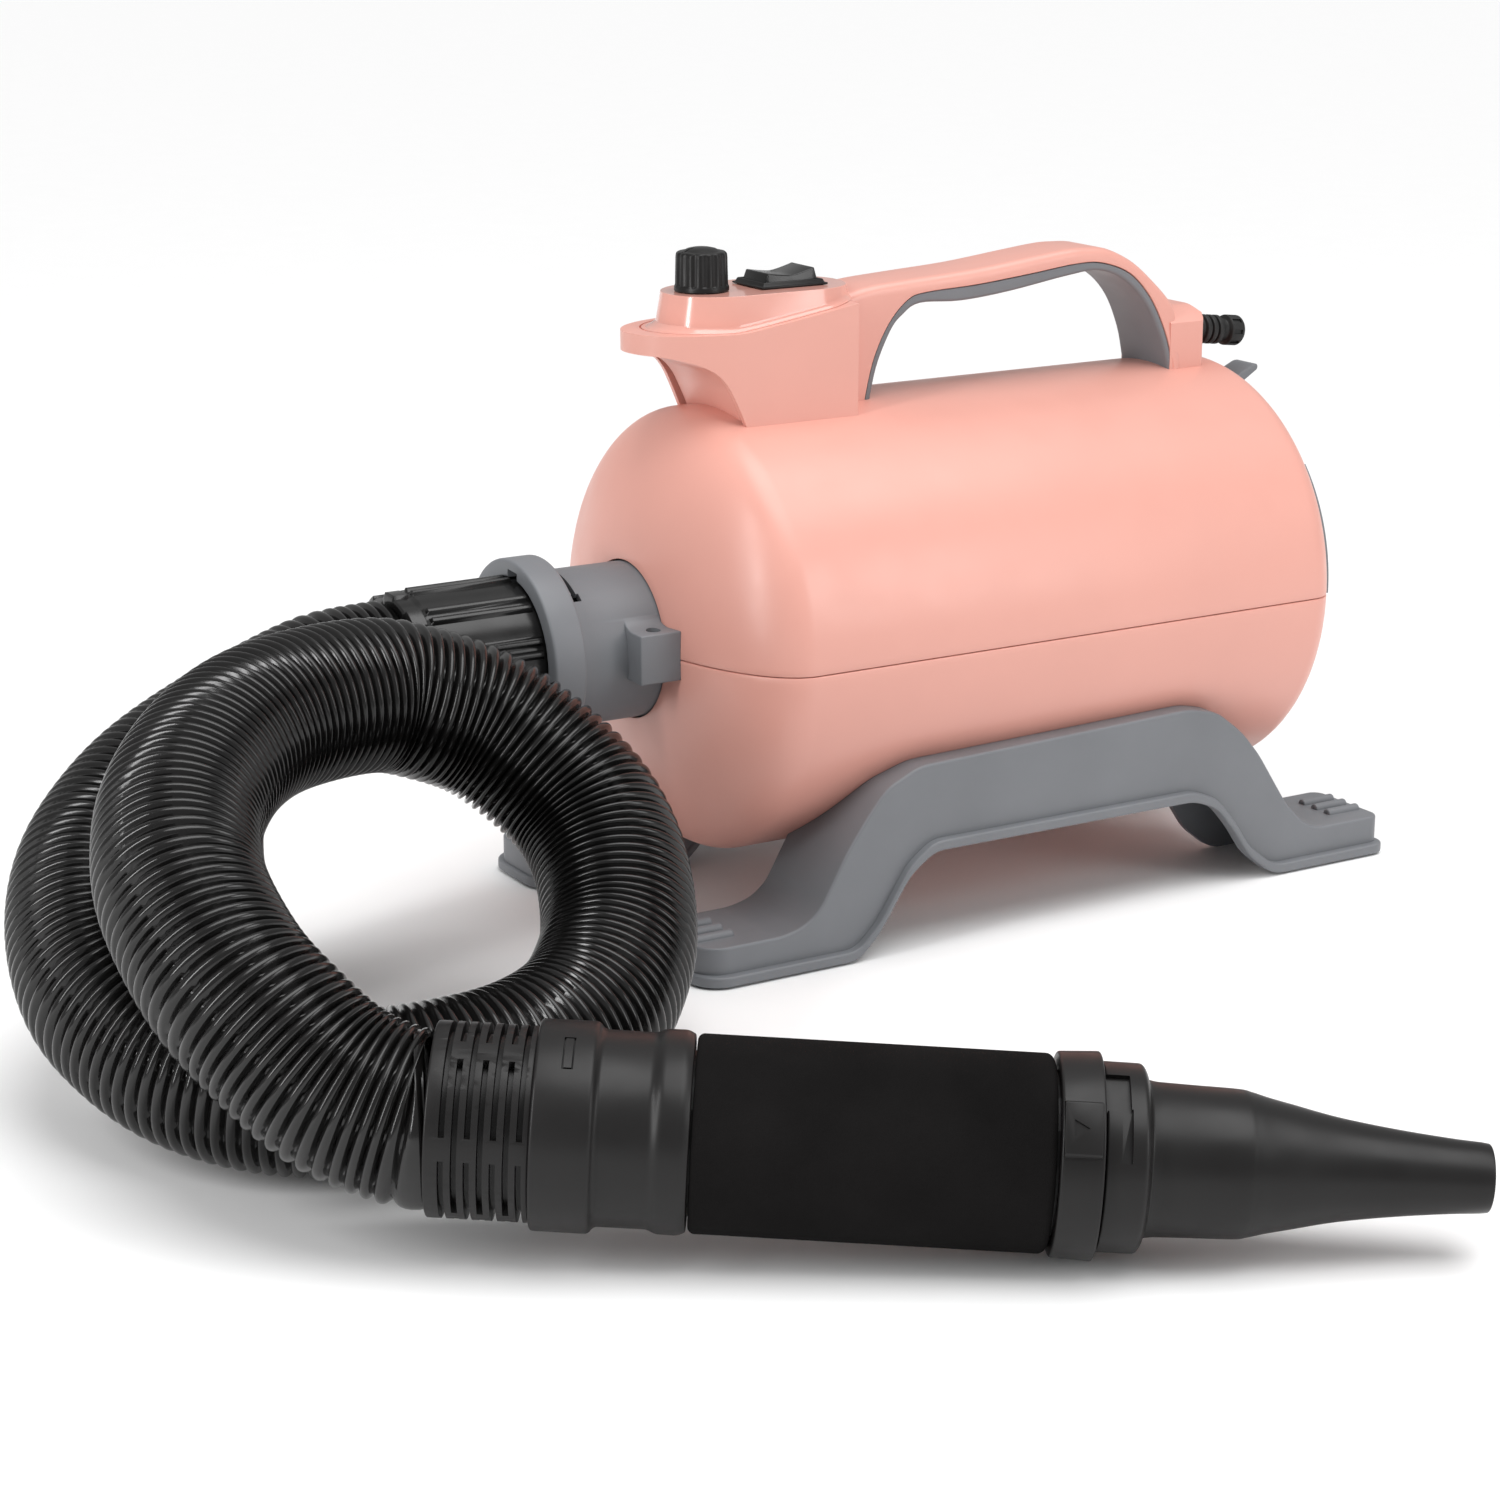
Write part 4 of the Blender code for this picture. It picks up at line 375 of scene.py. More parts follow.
def corrugated(path, pitch, outer, depth, around):
    """A ribbed tube along the path: round crests and narrow valleys, with a slow helix."""
    bm = bmesh.new()
    rings = []
    travelled = 0.0
    along = (path[1] - path[0]).normalized()
    side = along.cross(Vector((0, 0, 1))).normalized()
    for index, point in enumerate(path):
        last = index == len(path) - 1
        ahead = (path[min(index + 1, len(path) - 1)] - path[max(index - 1, 0)]).normalized()
        side = (side - ahead * side.dot(ahead)).normalized()
        up = ahead.cross(side)
        if index:
            travelled += (point - path[index - 1]).length
        ring = []
        for step in range(around):
            angle = 2 * math.pi * step / around
            across = 2 * ((travelled / pitch + step / around) % 1.0) - 1
            crest = math.sqrt(max(0.0, 1 - (across / 0.84) ** 2))
            radius = outer - depth * (1 - crest)
            if index == 0 or last:
                radius = outer - depth
            ring.append(bm.verts.new(point + radius * (math.cos(angle) * side + math.sin(angle) * up)))
        rings.append(ring)
    for ring, after in zip(rings, rings[1:]):
        for step in range(around):
            then = (step + 1) % around
            bm.faces.new((ring[step], ring[then], after[then], after[step]))
    bm.faces.new(list(reversed(rings[0])))
    bm.faces.new(rings[-1])
    return bm


PITCH = 0.0044
hose_path, hose_length = even_line(HOSE_ROUTE, PITCH / 8)
hose = solid("hose_corrugated", corrugated(hose_path, PITCH, HOSE_R, 0.0027, 60))
show(hose, "black_hose", "chassis", "hose", smooth=60)


# ---------------------------------------------------------------- blower shell
def shell_profile(inset, steps):
    radius, nose, tail = BODY_R - inset, DOME_DEPTH - inset, TAIL_DEPTH - inset
    first = math.asin(0.0337 / radius)
    points = []
    for step in range(steps + 1):
        angle = first + (math.pi / 2 - first) * step / steps
        points.append((DOME_X - nose * math.cos(angle), radius * math.sin(angle)))
    last = math.asin(0.0130 / tail)
    for step in range(9):
        angle = last * step / 8
        points.append((TAIL_X + tail * math.sin(angle), radius * math.cos(angle)))
    return points


section = shell_profile(0.0, 28) + list(reversed(shell_profile(WALL, 20)))
for name, start, side in (("upper_shell", 0, 1), ("lower_shell", 180, -1)):
    apart = Matrix.Translation((0, side * CLEAR, 0))
    half = solid(name + "_skin", lathe(section, 96, start, 180), BODY @ apart)
    soften(half, 0.00045, 2, 60)
    show(half, "pink_shell", "chassis", name, slot="pink_shell", smooth=50)


def barrel(grow):
    """A solid a little larger than the shell, to seat pieces on it."""
    outline = shell_profile(-grow, 16)
    outline = [(outline[0][0], 0.0)] + outline + [(outline[-1][0], 0.0)]
    return solid("barrel", lathe(outline, 160), BODY)


# ---------------------------------------------------------------- control pod
POD_TIP, POD_REAR, POD_SHOULDER, POD_HALF = -0.1610, -0.0655, -0.1180, 0.029
PLATE_ROUND_X = -0.0800
GROOVE_HALF, GROOVE_TIP = 0.0262, -0.1520
ISLAND_HALF, ISLAND_TIP = 0.0254, -0.1511
POD_WALL = 0.0026
NECK_HALF, NECK_REAR, HOOD_Z = 0.0228, -0.0700, 0.2522


def brim(x):
    """Height of the pod's top edge: level over the bow, then rising to the handle."""
    rise = max(x + 0.1240, 0.0)
    return 0.2555 + 0.159 * rise * rise / (rise + 0.006)


def plan_line(half, tip, rear, round_rear=False, steps=22):
    """Half of a boat's plan from its front tip to its rear end: (x, y) points with y from 0 up."""
    line = []
    for step in range(1, steps + 1):
        angle = math.pi / 2 * step / steps
        line.append((POD_SHOULDER - (POD_SHOULDER - tip) * math.cos(angle), half * math.sin(angle)))
    for step in range(1, 11):
        line.append((POD_SHOULDER + (rear - POD_SHOULDER) * step / 10, half))
    if round_rear:
        for step in range(1, 16):
            angle = math.pi / 2 * step / 16
            line.append((rear + half * math.sin(angle), half * math.cos(angle)))
    return line


def loft(levels):
    """A solid between plan lines: each level is (plan line, height function), from the bottom up."""
    bm = bmesh.new()
    rows = []
    for line, height in levels:
        rows.append(([bm.verts.new((x, -y, height(x))) for x, y in line],
                     [bm.verts.new((x, y, height(x))) for x, y in line]))
    for (near, far), (near_up, far_up) in zip(rows, rows[1:]):
        for index in range(len(near) - 1):
            bm.faces.new((near[index], near[index + 1], near_up[index + 1], near_up[index]))
            bm.faces.new((far[index + 1], far[index], far_up[index], far_up[index + 1]))
        for index in (0, len(near) - 1):
            bm.faces.new((near[index], near_up[index], far_up[index], far[index]))
    for near, far in (rows[0], rows[-1]):
        for index in range(len(near) - 1):
            bm.faces.new((near[index], near[index + 1], far[index + 1], far[index]))
    return bm


def hull(inset, low, top):
    line = plan_line(POD_HALF - inset, POD_TIP + inset, POD_REAR - inset)
    return loft([(line, low), (line, top)])


def plate_band(half, tip, low, top):
    line = plan_line(half, tip, PLATE_ROUND_X, True)
    return loft([(line, low), (line, top)])


def base_level(x):
    return BODY_Z + 0.070


pod = solid("control_pod_skin", hull(0.0, base_level, brim))
arch = [(-0.1750, 0.1900), (-0.1750, 0.2473), (-0.1620, 0.2472)] \
    + flowing([(-0.1590, 0.2470), (-0.1537, 0.2466), (-0.1459, 0.2450), (-0.1389, 0.2425), (-0.1332, 0.2392),
               (-0.1289, 0.2344), (-0.1260, 0.2292), (-0.1232, 0.2233), (-0.1203, 0.2167)], 5) \
    + [(-0.1195, 0.1900)]
combine(pod, solid("arch", prism(arch, -0.05, 0.05)))
soften(pod, 0.0019, 4, 50)
groove = plate_band(GROOVE_HALF, GROOVE_TIP, lambda x: brim(x) - 0.0012, lambda x: brim(x) + 0.01)
groove = solid("groove", groove)
island = plate_band(ISLAND_HALF, ISLAND_TIP, lambda x: brim(x) - 0.003, lambda x: brim(x) + 0.02)
combine(groove, solid("island", island))
combine(pod, groove)
combine(pod, solid("under", hull(POD_WALL, lambda x: 0.18, lambda x: brim(x) - 0.0032)))
combine(pod, barrel(CLEAR))
show(pod, "pink_shell", "chassis", "control_pod", smooth=40, flat=True)

neck_front = [(x + 0.0018, z - 0.0010) for x, z in arch if x > -0.1400 and z > 0.2000]
neck_side = [(NECK_REAR, base_level(0)), (NECK_REAR, HOOD_Z), (neck_front[0][0], HOOD_Z)] + neck_front \
    + [(neck_front[-1][0], base_level(0))]
neck = solid("pod_neck_skin", prism(neck_side, -NECK_HALF, NECK_HALF))
soften(neck, 0.0008, 3, 50)
combine(neck, barrel(CLEAR))
show(neck, "pink_shell", "chassis", "pod_neck", smooth=35)

plate_levels = []
for half, tip, lift in ((0.0249, -0.1498, None), (0.0240, -0.1488, 0.0003), (0.0232, -0.1464, 0.0011),
                        (0.0228, -0.1442, 0.0024)):
    line = plan_line(half, tip, PLATE_ROUND_X, True)
    height = (lambda x: brim(x) - 0.0006) if lift is None else (lambda x, lift=lift: brim(x) + lift)
    plate_levels.append((line, height))
plate_levels.append((plan_line(0.0220, -0.1418, PLATE_ROUND_X, True), lambda x: PANEL_Z))
plate = solid("control_plate", loft(plate_levels))
soften(plate, 0.0010, 4, 50)
combine(plate, solid("well", block((SWITCH_X - 0.0147, -0.0118, 0.24), (SWITCH_X + 0.0147, 0.0118, 0.30))))
combine(plate, solid("shaft_hole", lathe([(0.24, 0.0), (0.24, 0.0045), (0.30, 0.0045), (0.30, 0.0)], 32),
                     Matrix.Translation((KNOB_X, 0, 0))))
show(plate, "pink_gloss", "chassis", "control_panel", slot="pink_shell", smooth=40, flat=True)

# switch: thin flange, raised frame with sloping skirts, rocker between its cheeks
flange = solid("switch_frame", block((SWITCH_X - 0.01625, -0.0125, PANEL_Z + 0.0003),
                                     (SWITCH_X + 0.01625, 0.0125, PANEL_Z + 0.0011)))
raised = block((SWITCH_X - 0.0154, -0.0118, PANEL_Z + 0.0008), (SWITCH_X + 0.0154, 0.0118, PANEL_Z + 0.0027))
for vert in raised.verts:
    if vert.co.z > PANEL_Z + 0.002:
        vert.co.x = SWITCH_X + (vert.co.x - SWITCH_X) * 0.94
        vert.co.y *= 0.93
combine(flange, solid("raised", raised), "UNION")
combine(flange, solid("lower_body", block((SWITCH_X - 0.0144, -0.0114, 0.2515),
                                          (SWITCH_X + 0.0144, 0.0114, PANEL_Z + 0.0010))), "UNION")
combine(flange, solid("cheeks", block((SWITCH_X - 0.0135, -0.0103, PANEL_Z - 0.0060),
                                      (SWITCH_X + 0.0135, 0.0103, PANEL_Z + 0.01))))
soften(flange, 0.0004, 2, 40)
show(flange, "black_plastic", "chassis", "switch_body", smooth=40)

half = 0.0130
top_line = [(-half + 0.0016 + (2 * half - 0.0032) * step / 12, 0.0) for step in range(13)]
top_line = [(x, 0.0038 + (0.0014 if x < 0 else 0.0027) * (abs(x) / (half - 0.0016)) ** 1.3)
            for x, _ in top_line]
rocker_line = [(-half, -0.0005)] + top_line + [(half, -0.0005), (half - 0.003, -0.0022), (0.0, -0.0045),
                                               (-half + 0.003, -0.0022)]
rocker = prism(rocker_line, -0.0100, 0.0100)
for vert in rocker.verts:
    if vert.co.z > 0.002:
        vert.co.y *= 0.90
rocker = solid("rocker_cap", rocker, Matrix.Translation((SWITCH_X, 0, PANEL_Z + 0.0010)))
soften(rocker, 0.0005, 3, 40)
show(rocker, "black_gloss", "switch_rocker", "rocker", slot="black_plastic", smooth=40)


# ---------------------------------------------------------------- speed knob
def fluted_knob(flutes=16, steps=10):
    bm = bmesh.new()
    rings = [(0.0005, 0.01155, 0), (0.0018, 0.01155, 0), (0.0025, 0.01125, 0), (0.0030, 0.01110, 1),
             (0.0142, 0.01085, 1), (0.0154, 0.01070, 0.9), (0.0160, 0.01045, 0.6), (0.0164, 0.0099, 0.2),
             (0.0166, 0.0090, 0), (0.0166, 0.0080, 0), (0.0169, 0.0074, 0), (0.0176, 0.0060, 0),
             (0.0181, 0.0038, 0), (0.0183, 0.0014, 0)]
    loops = []
    for z, radius, flute in rings:
        loop = []
        for step in range(flutes * steps):
            angle = 2 * math.pi * step / (flutes * steps)
            wave = (0.5 + 0.5 * math.cos(flutes * angle)) ** 1.4
            reach = radius - 0.00060 * flute * wave
            loop.append(bm.verts.new((reach * math.cos(angle), reach * math.sin(angle), z)))
        loops.append(loop)
    for below, above in zip(loops, loops[1:]):
        for step in range(len(below)):
            after = (step + 1) % len(below)
            bm.faces.new((below[step], below[after], above[after], above[step]))
    bm.faces.new(list(reversed(loops[0])))
    bm.faces.new(loops[-1])
    return bm


knob_home = Matrix.Translation((KNOB_X, 0, PANEL_Z))
knob = solid("speed_knob_cap", fluted_knob(), knob_home)
pointer = block((-0.0095, -0.0004, 0.0155), (-0.0040, 0.0004, 0.0200))
combine(knob, solid("pointer", pointer, knob_home))
show(knob, "black_plastic", "knob", "speed_knob", smooth=45)

# ---------------------------------------------------------------- handle
BOW_HALF, GRIP_HALF = 0.0155, 0.0150
TOP = [(-0.0652, 0.2650), (-0.0499, 0.2681), (-0.0261, 0.2698), (0.0052, 0.2717), (0.0370, 0.2751),
       (0.0520, 0.2766), (0.0614, 0.2768), (0.0747, 0.2754), (0.0900, 0.2682), (0.1040, 0.2565),
       (0.1118, 0.2476), (0.1140, 0.2395)]
JOINT = [(0.1105, 0.2205), (0.1062, 0.2362), (0.0983, 0.2522), (0.0869, 0.2638), (0.0711, 0.2697),
         (0.0563, 0.2702), (0.0327, 0.2677), (0.0036, 0.2650), (-0.0220, 0.2637), (-0.0318, 0.2612),
         (-0.0416, 0.2515), (-0.0496, 0.2356), (-0.0549, 0.2135)]
OPEN = [(0.1078, 0.2205), (0.1036, 0.2345), (0.0955, 0.2500), (0.0842, 0.2608), (0.0700, 0.2662),
        (0.0532, 0.2651), (0.0212, 0.2605), (-0.0036, 0.2584), (-0.0249, 0.2590), (-0.0340, 0.2545),
        (-0.0400, 0.2480), (-0.0470, 0.2330), (-0.0515, 0.2135)]
FOOT = BODY_Z + 0.080


def widen(piece):
    """The rear leg spreads towards its foot."""
    for vert in piece.data.vertices:
        if vert.co.x - ORIGIN.x > 0.05:
            part = min(max((0.2600 - vert.co.z) / 0.045, 0.0), 1.0)
            vert.co.y = ORIGIN.y + (vert.co.y - ORIGIN.y) * (1 + 0.2258 * part)


top_line, joint_line, open_line = flowing(TOP), flowing(JOINT), flowing(OPEN)
outline = [(TOP[0][0], FOOT)] + top_line + [(TOP[-1][0], FOOT), (JOINT[0][0], FOOT)] + joint_line \
    + [(JOINT[-1][0] - 0.0006, FOOT)]
weights = [0.0] + [1.0] * (len(top_line) - 1) + [0.25, 0.0, 0.12] + [0.12] * len(joint_line) + [0.0]
bow = solid("handle_bow_skin", prism(outline, -BOW_HALF, BOW_HALF, weights=weights[:len(outline)]))
soften(bow, 0.0040, 5, weighted=True)
widen(bow)

centre = Vector((0.028, 0.225))
pulled = []
for point in joint_line:
    inward = (centre - Vector(point)).normalized() * 0.0004
    pulled.append((point[0] + inward.x, point[1] + inward.y))
outline = [(pulled[0][0], FOOT)] + pulled + [(pulled[-1][0] - 0.0006, FOOT), (OPEN[-1][0] - 0.0004, FOOT)] \
    + list(reversed(open_line)) + [(OPEN[0][0] + 0.0004, FOOT)]
weights = [0.1] * (len(pulled) + 1) + [0.0] + [1.0] * (len(open_line) + 1) + [0.0]
grip = solid("handle_grip_skin", prism(outline, -GRIP_HALF, GRIP_HALF, weights=weights[:len(outline)]))
soften(grip, 0.0016, 4, weighted=True)
widen(grip)
combine(grip, barrel(CLEAR))
show(grip, "grey_trim", "chassis", "handle_grip", smooth=40)

plan = [(0.1060, -0.0180), (0.1272, -0.0180), (0.1309, -0.0090), (0.1309, 0.0090), (0.1272, 0.0180),
        (0.1060, 0.0180)]
cord_block = solid("cord_block_skin", prism(rounded(plan, 0.0020), FOOT, 0.26, "XY"))
side_view = [(0.1085, FOOT), (0.1085, 0.2400), (0.1095, 0.2470), (0.1252, 0.2470, 0.0015),
             (0.1309, 0.2412, 0.0015), (0.1330, 0.2380), (0.1330, FOOT)]
combine(cord_block, solid("profile", prism(rounded(side_view, 0.0), -0.03, 0.03)), "INTERSECT")
end_view = [(-0.0200, FOOT - 0.001), (-0.0200, 0.2386), (-0.0080, 0.2470, 0.0030), (0.0080, 0.2470, 0.0030),
            (0.0200, 0.2386), (0.0200, FOOT - 0.001)]
combine(cord_block, solid("chamfers", prism(rounded(end_view, 0.0), 0.10, 0.14, "YZ")), "INTERSECT")
soften(cord_block, 0.0008, 3, 30)
combine(bow, cord_block, "UNION")
combine(bow, barrel(CLEAR))
show(bow, "pink_shell", "chassis", "handle_bow", "cord_block", smooth=40)

gland = [(-0.0030, 0.0030), (-0.0030, 0.0042), (0.0008, 0.0042), (0.0008, 0.0070), (0.0040, 0.0072),
         (0.0043, 0.0052), (0.0078, 0.0052)]
for groove in range(3):
    x = 0.0082 + 0.0036 * groove
    gland += [(x, 0.0067), (x + 0.0024, 0.0067), (x + 0.0026, 0.0055), (x + 0.0034, 0.0055)]
gland += [(0.0192, 0.0050), (0.0218, 0.0050), (0.0224, 0.0070), (0.0292, 0.0070), (0.0304, 0.0060),
          (0.0304, 0.0034), (0.0280, 0.0030)]
tilt = Matrix.Translation((0.1310, 0, 0.2338)) @ Matrix.Rotation(math.radians(6.5), 4, "Y") @ ALONG_X
gland_piece = solid("cord_gland_skin", lathe(rounded(gland, 0.0004, 2), 40), tilt)
notches = bmesh.new()
for step in range(8):
    turn = Matrix.Rotation(math.radians(45 * step), 4, "Z")
    block((0.0062, -0.0010, 0.0232), (0.0080, 0.0010, 0.0282), notches, turn)
combine(gland_piece, solid("notches", notches, tilt))
show(gland_piece, "rubber", "chassis", "cord_gland", smooth=45)

# ---------------------------------------------------------------- outlet collar and cuff
collar_line = [(-0.2170, 0.0329, 0.0010), (-0.2170, 0.0404, 0.0014), (-0.2025, 0.0404, 0.0014),
               (-0.2025, 0.0352, 0.0003),
               (-0.2005, 0.0350, 0.0004), (-0.2000, 0.0333, 0.0004), (-0.1580, 0.0332), (-0.1580, 0.0380),
               (-0.1556, 0.0380), (-0.1556, 0.0305), (-0.2046, 0.0305), (-0.2046, 0.0329)]
collar = solid("outlet_collar_skin", lathe(rounded(collar_line, 0.0003, 4), 128), BODY)
LUG_FACE, LUG_LOW, LUG_TOP, TUBE_R, FILLET = 0.0440, -0.0085, 0.0125, 0.0332, 0.0100
middle = Vector((-math.sqrt((TUBE_R + FILLET) ** 2 - (LUG_TOP + FILLET) ** 2), LUG_TOP + FILLET))
lug_line = [(-LUG_FACE, LUG_LOW), (-LUG_FACE, LUG_TOP)]
last = math.atan2(-middle.y, -middle.x)
for step in range(9):
    angle = -math.pi / 2 + (last + math.pi / 2) * step / 8
    lug_line.append((middle.x + FILLET * math.cos(angle), middle.y + FILLET * math.sin(angle)))
lug_low = math.asin(LUG_LOW / 0.0318)
for step in range(9):
    angle = math.pi + last + (-lug_low - last) * step / 8
    lug_line.append((0.0318 * math.cos(angle), 0.0318 * math.sin(angle)))
lug = solid("lug", prism(lug_line, -0.1797, -0.1605, "YZ"), Matrix.Translation((0, 0, BODY_Z)))
soften(lug, 0.0012, 3, 60)
combine(collar, lug, "UNION")
seat_out, seat_in = shell_profile(-0.0002, 12), shell_profile(WALL + 0.0002, 12)
seat_out[0] = (seat_out[0][0] - 0.0003, 0.0335)
seat_in[0] = (seat_in[0][0] - 0.0003, 0.0335)
combine(collar, solid("seat", lathe(seat_out + list(reversed(seat_in)), 160), BODY))
cuts = bmesh.new()
block((-0.2190, -0.0042, 0.0300), (-0.2110, 0.0042, 0.0362), cuts, Matrix.Rotation(math.radians(4), 4, "X"))
slot = [(-0.1984, 0.0290), (-0.1984, 0.0350), (-0.1964, 0.0350), (-0.1964, 0.0290)]
join(cuts, lathe(slot, 24, 92, 36), ALONG_X)
block((-0.1990, -0.0020, 0.0290), (-0.1952, 0.0020, 0.0350), cuts, Matrix.Rotation(math.radians(38), 4, "X"))
join(cuts, lathe([(-0.012, 0.0), (-0.012, 0.0031), (0.02, 0.0031), (0.02, 0.0)], 32),
     Matrix.Translation((-0.1700, -0.0370, 0)))
combine(collar, solid("cuts", cuts, Matrix.Translation((0, 0, BODY_Z))), self_overlap=True)
show(collar, "grey_trim", "chassis", "outlet_collar", smooth=35)


def cuff_mesh(pairs=10, around=320):
    """Spigot, ridged grip and a notched end collar, as one turned grid."""
    stations = [(-0.1700, 0.0298, 0), (-0.2051, 0.0298, 0), (-0.2053, 0.0318, 0), (-0.2058, 0.0322, 0),
                (-0.2178, 0.0322, 0), (-0.2186, 0.0322, 1), (-0.2625, 0.0320, 1), (-0.2632, 0.0320, 0),
                (-0.2645, 0.0314, 0), (-0.2652, 0.0314, 2), (-0.2712, 0.0314, 2), (-0.2720, 0.0306, 0),
                (-0.2720, 0.0266, 0)]
    bm = bmesh.new()
    loops = []
    for x, radius, kind in stations:
        loop = []
        for step in range(around):
            angle = 2 * math.pi * step / around
            turn = (angle * pairs / (2 * math.pi)) % 1.0
            lift = 0.0
            if kind == 1:
                for middle in (0.36, 0.62):
                    lift = max(lift, 1 - (abs(turn - middle) / 0.085) ** 4)
                lift = 0.0018 * max(lift, 0.0)
            elif kind == 2:
                lift = 0.0015 if 0.28 < turn < 0.70 else 0.0
            reach = radius + lift
            loop.append(bm.verts.new((reach * math.cos(angle), reach * math.sin(angle), x)))
        loops.append(loop)
    for here, there in zip(loops, loops[1:]):
        for step in range(around):
            after = (step + 1) % around
            bm.faces.new((here[step], here[after], there[after], there[step]))
    bore, start = 0.0266, -0.1700
    inner = [bm.verts.new((vert.co.x * bore / vert.co.xy.length, vert.co.y * bore / vert.co.xy.length, start))
             for vert in loops[0]]
    for step in range(around):
        after = (step + 1) % around
        bm.faces.new((loops[-1][step], loops[-1][after], inner[after], inner[step]))
        bm.faces.new((inner[step], inner[after], loops[0][after], loops[0][step]))
    return bm


cuff = solid("hose_cuff_skin", cuff_mesh(), BODY)
show(cuff, "black_gloss", "cuff", "hose_cuff", slot="black_plastic", smooth=40)


# ---------------------------------------------------------------- hand wand
def on_wand(name, bm):
    return solid(name, bm, WAND @ ALONG_X)


cage_line = [(0.0003, 0.0262), (0.0003, 0.0326), (0.0347, 0.0326), (0.0347, 0.0262)]
cage = on_wand("wand_cage_skin", lathe(rounded(cage_line, 0.0008), 144))
slots = bmesh.new()
for row in range(7):
    x = 0.0062 + 0.0042 * row
    bridge = 175 if row % 2 == 0 else 113
    for part in range(3):
        line = rounded([(x - 0.0010, 0.0288), (x - 0.0010, 0.0340), (x + 0.0010, 0.0340),
                        (x + 0.0010, 0.0288)], 0.0001)
        join(slots, lathe(line, 30, bridge + 7 + 120 * part, 106))
combine(cage, on_wand("slots", slots))
soften(cage, 0.0003, 2, 50)
show(cage, "black_plastic", "chassis", "wand_cage", smooth=40)

socket_line = [(0.0345, 0.0262), (0.0345, 0.0351, 0.0012), (0.0538, 0.0351, 0.0012), (0.0556, 0.0326, 0.0015),
               (0.0732, 0.0325, 0.0012), (0.0760, 0.0339, 0.0018), (0.0835, 0.0340, 0.0018), (0.0860, 0.0327),
               (0.0860, 0.0278), (0.0706, 0.0278), (0.0706, 0.0262)]
socket = on_wand("wand_socket_skin", lathe(rounded(socket_line, 0.0006, 4), 128))
latch = bmesh.new()
for start, end, half in ((0.0434, 0.0440, 0.0072), (0.0466, 0.0472, 0.0072)):
    block((start, -half, 0.0335), (end, half, 0.0365), latch)
for side in (-1, 1):
    low, high = sorted((side * 0.0066, side * 0.0072))
    block((0.0434, low, 0.0335), (0.0472, high, 0.0365), latch)
combine(socket, solid("latch", latch, WAND @ Matrix.Rotation(math.radians(24), 4, "X")), self_overlap=True)
show(socket, "black_plastic", "chassis", "wand_socket", smooth=40)

foam_line = [(0.0866, 0.0279), (0.0866, 0.0318, 0.0012), (0.0880, 0.0331, 0.0012), (0.2030, 0.0331, 0.0015),
             (0.2048, 0.0316, 0.0012), (0.2048, 0.0279)]
foam = on_wand("foam_grip_skin", lathe(rounded(foam_line, 0.0006, 4), 128))
show(foam, "foam", "chassis", "foam_grip", smooth=45)

ring_line = [(0.2058, 0.0279), (0.2058, 0.0340), (0.2200, 0.0347), (0.2200, 0.0290), (0.2073, 0.0290),
             (0.2073, 0.0279)]
lock = on_wand("lock_ring_skin", lathe(rounded(ring_line, 0.0010, 4), 128))
for angle in (53, 233):
    pad = block((0.2064, -0.0100, 0.0315), (0.2190, 0.0100, 0.0356))
    for vert in pad.verts:
        if vert.co.z > 0.034:
            vert.co.y *= 0.88
    pad = solid("pad", pad, WAND @ Matrix.Rotation(math.radians(angle), 4, "X"))
    soften(pad, 0.0006, 2, 40)
    combine(lock, pad, "UNION")
arrow = prism([(0.2096, -0.0028), (0.2096, 0.0028), (0.2146, 0.0)], 0.0350, 0.0361, "XY")
combine(lock, solid("arrow", arrow, WAND @ Matrix.Rotation(math.radians(53), 4, "X")))
show(lock, "black_plastic", "chassis", "lock_ring", smooth=40)

nozzle_line = [(0.2077, 0.0238), (0.2077, 0.0284), (0.2204, 0.0284), (0.2206, 0.0315, 0.0008),
               (0.2340, 0.0314, 0.0016),
               (0.2354, 0.0290, 0.0008), (0.2360, 0.0262, 0.0008), (0.2395, 0.0256, 0.001)]
cone = [(0.2520, 0.0252), (0.2665, 0.0248), (0.2710, 0.0240), (0.2770, 0.0224), (0.2851, 0.0206),
        (0.2983, 0.01765),
        (0.3116, 0.0155), (0.3250, 0.0138), (0.3383, 0.01245), (0.3475, 0.0118)]
nozzle_line += flowing(cone, 5) + [(0.3505, 0.0114, 0.0010), (0.3505, 0.0100, 0.0004), (0.3255, 0.0118),
                                  (0.2985, 0.0157), (0.2745, 0.0210), (0.2360, 0.0236)]
nozzle = on_wand("nozzle_skin", lathe(rounded(nozzle_line, 0.0, 4), 128))
window = bmesh.new()
for turned in (0, 180):
    near_end, far_end = (Matrix.Rotation(math.radians(start + turned), 4, "X") for start in (24, 54))
    block((0.2203, -0.0081, 0.0288), (0.2285, 0.0081, 0.0335), window, near_end)
    block((0.2255, -0.0090, 0.0288), (0.2290, 0.0090, 0.0335), window, far_end)
combine(nozzle, solid("window", window, WAND), self_overlap=True)
show(nozzle, "black_plastic", "wand_nozzle", "nozzle", smooth=40)

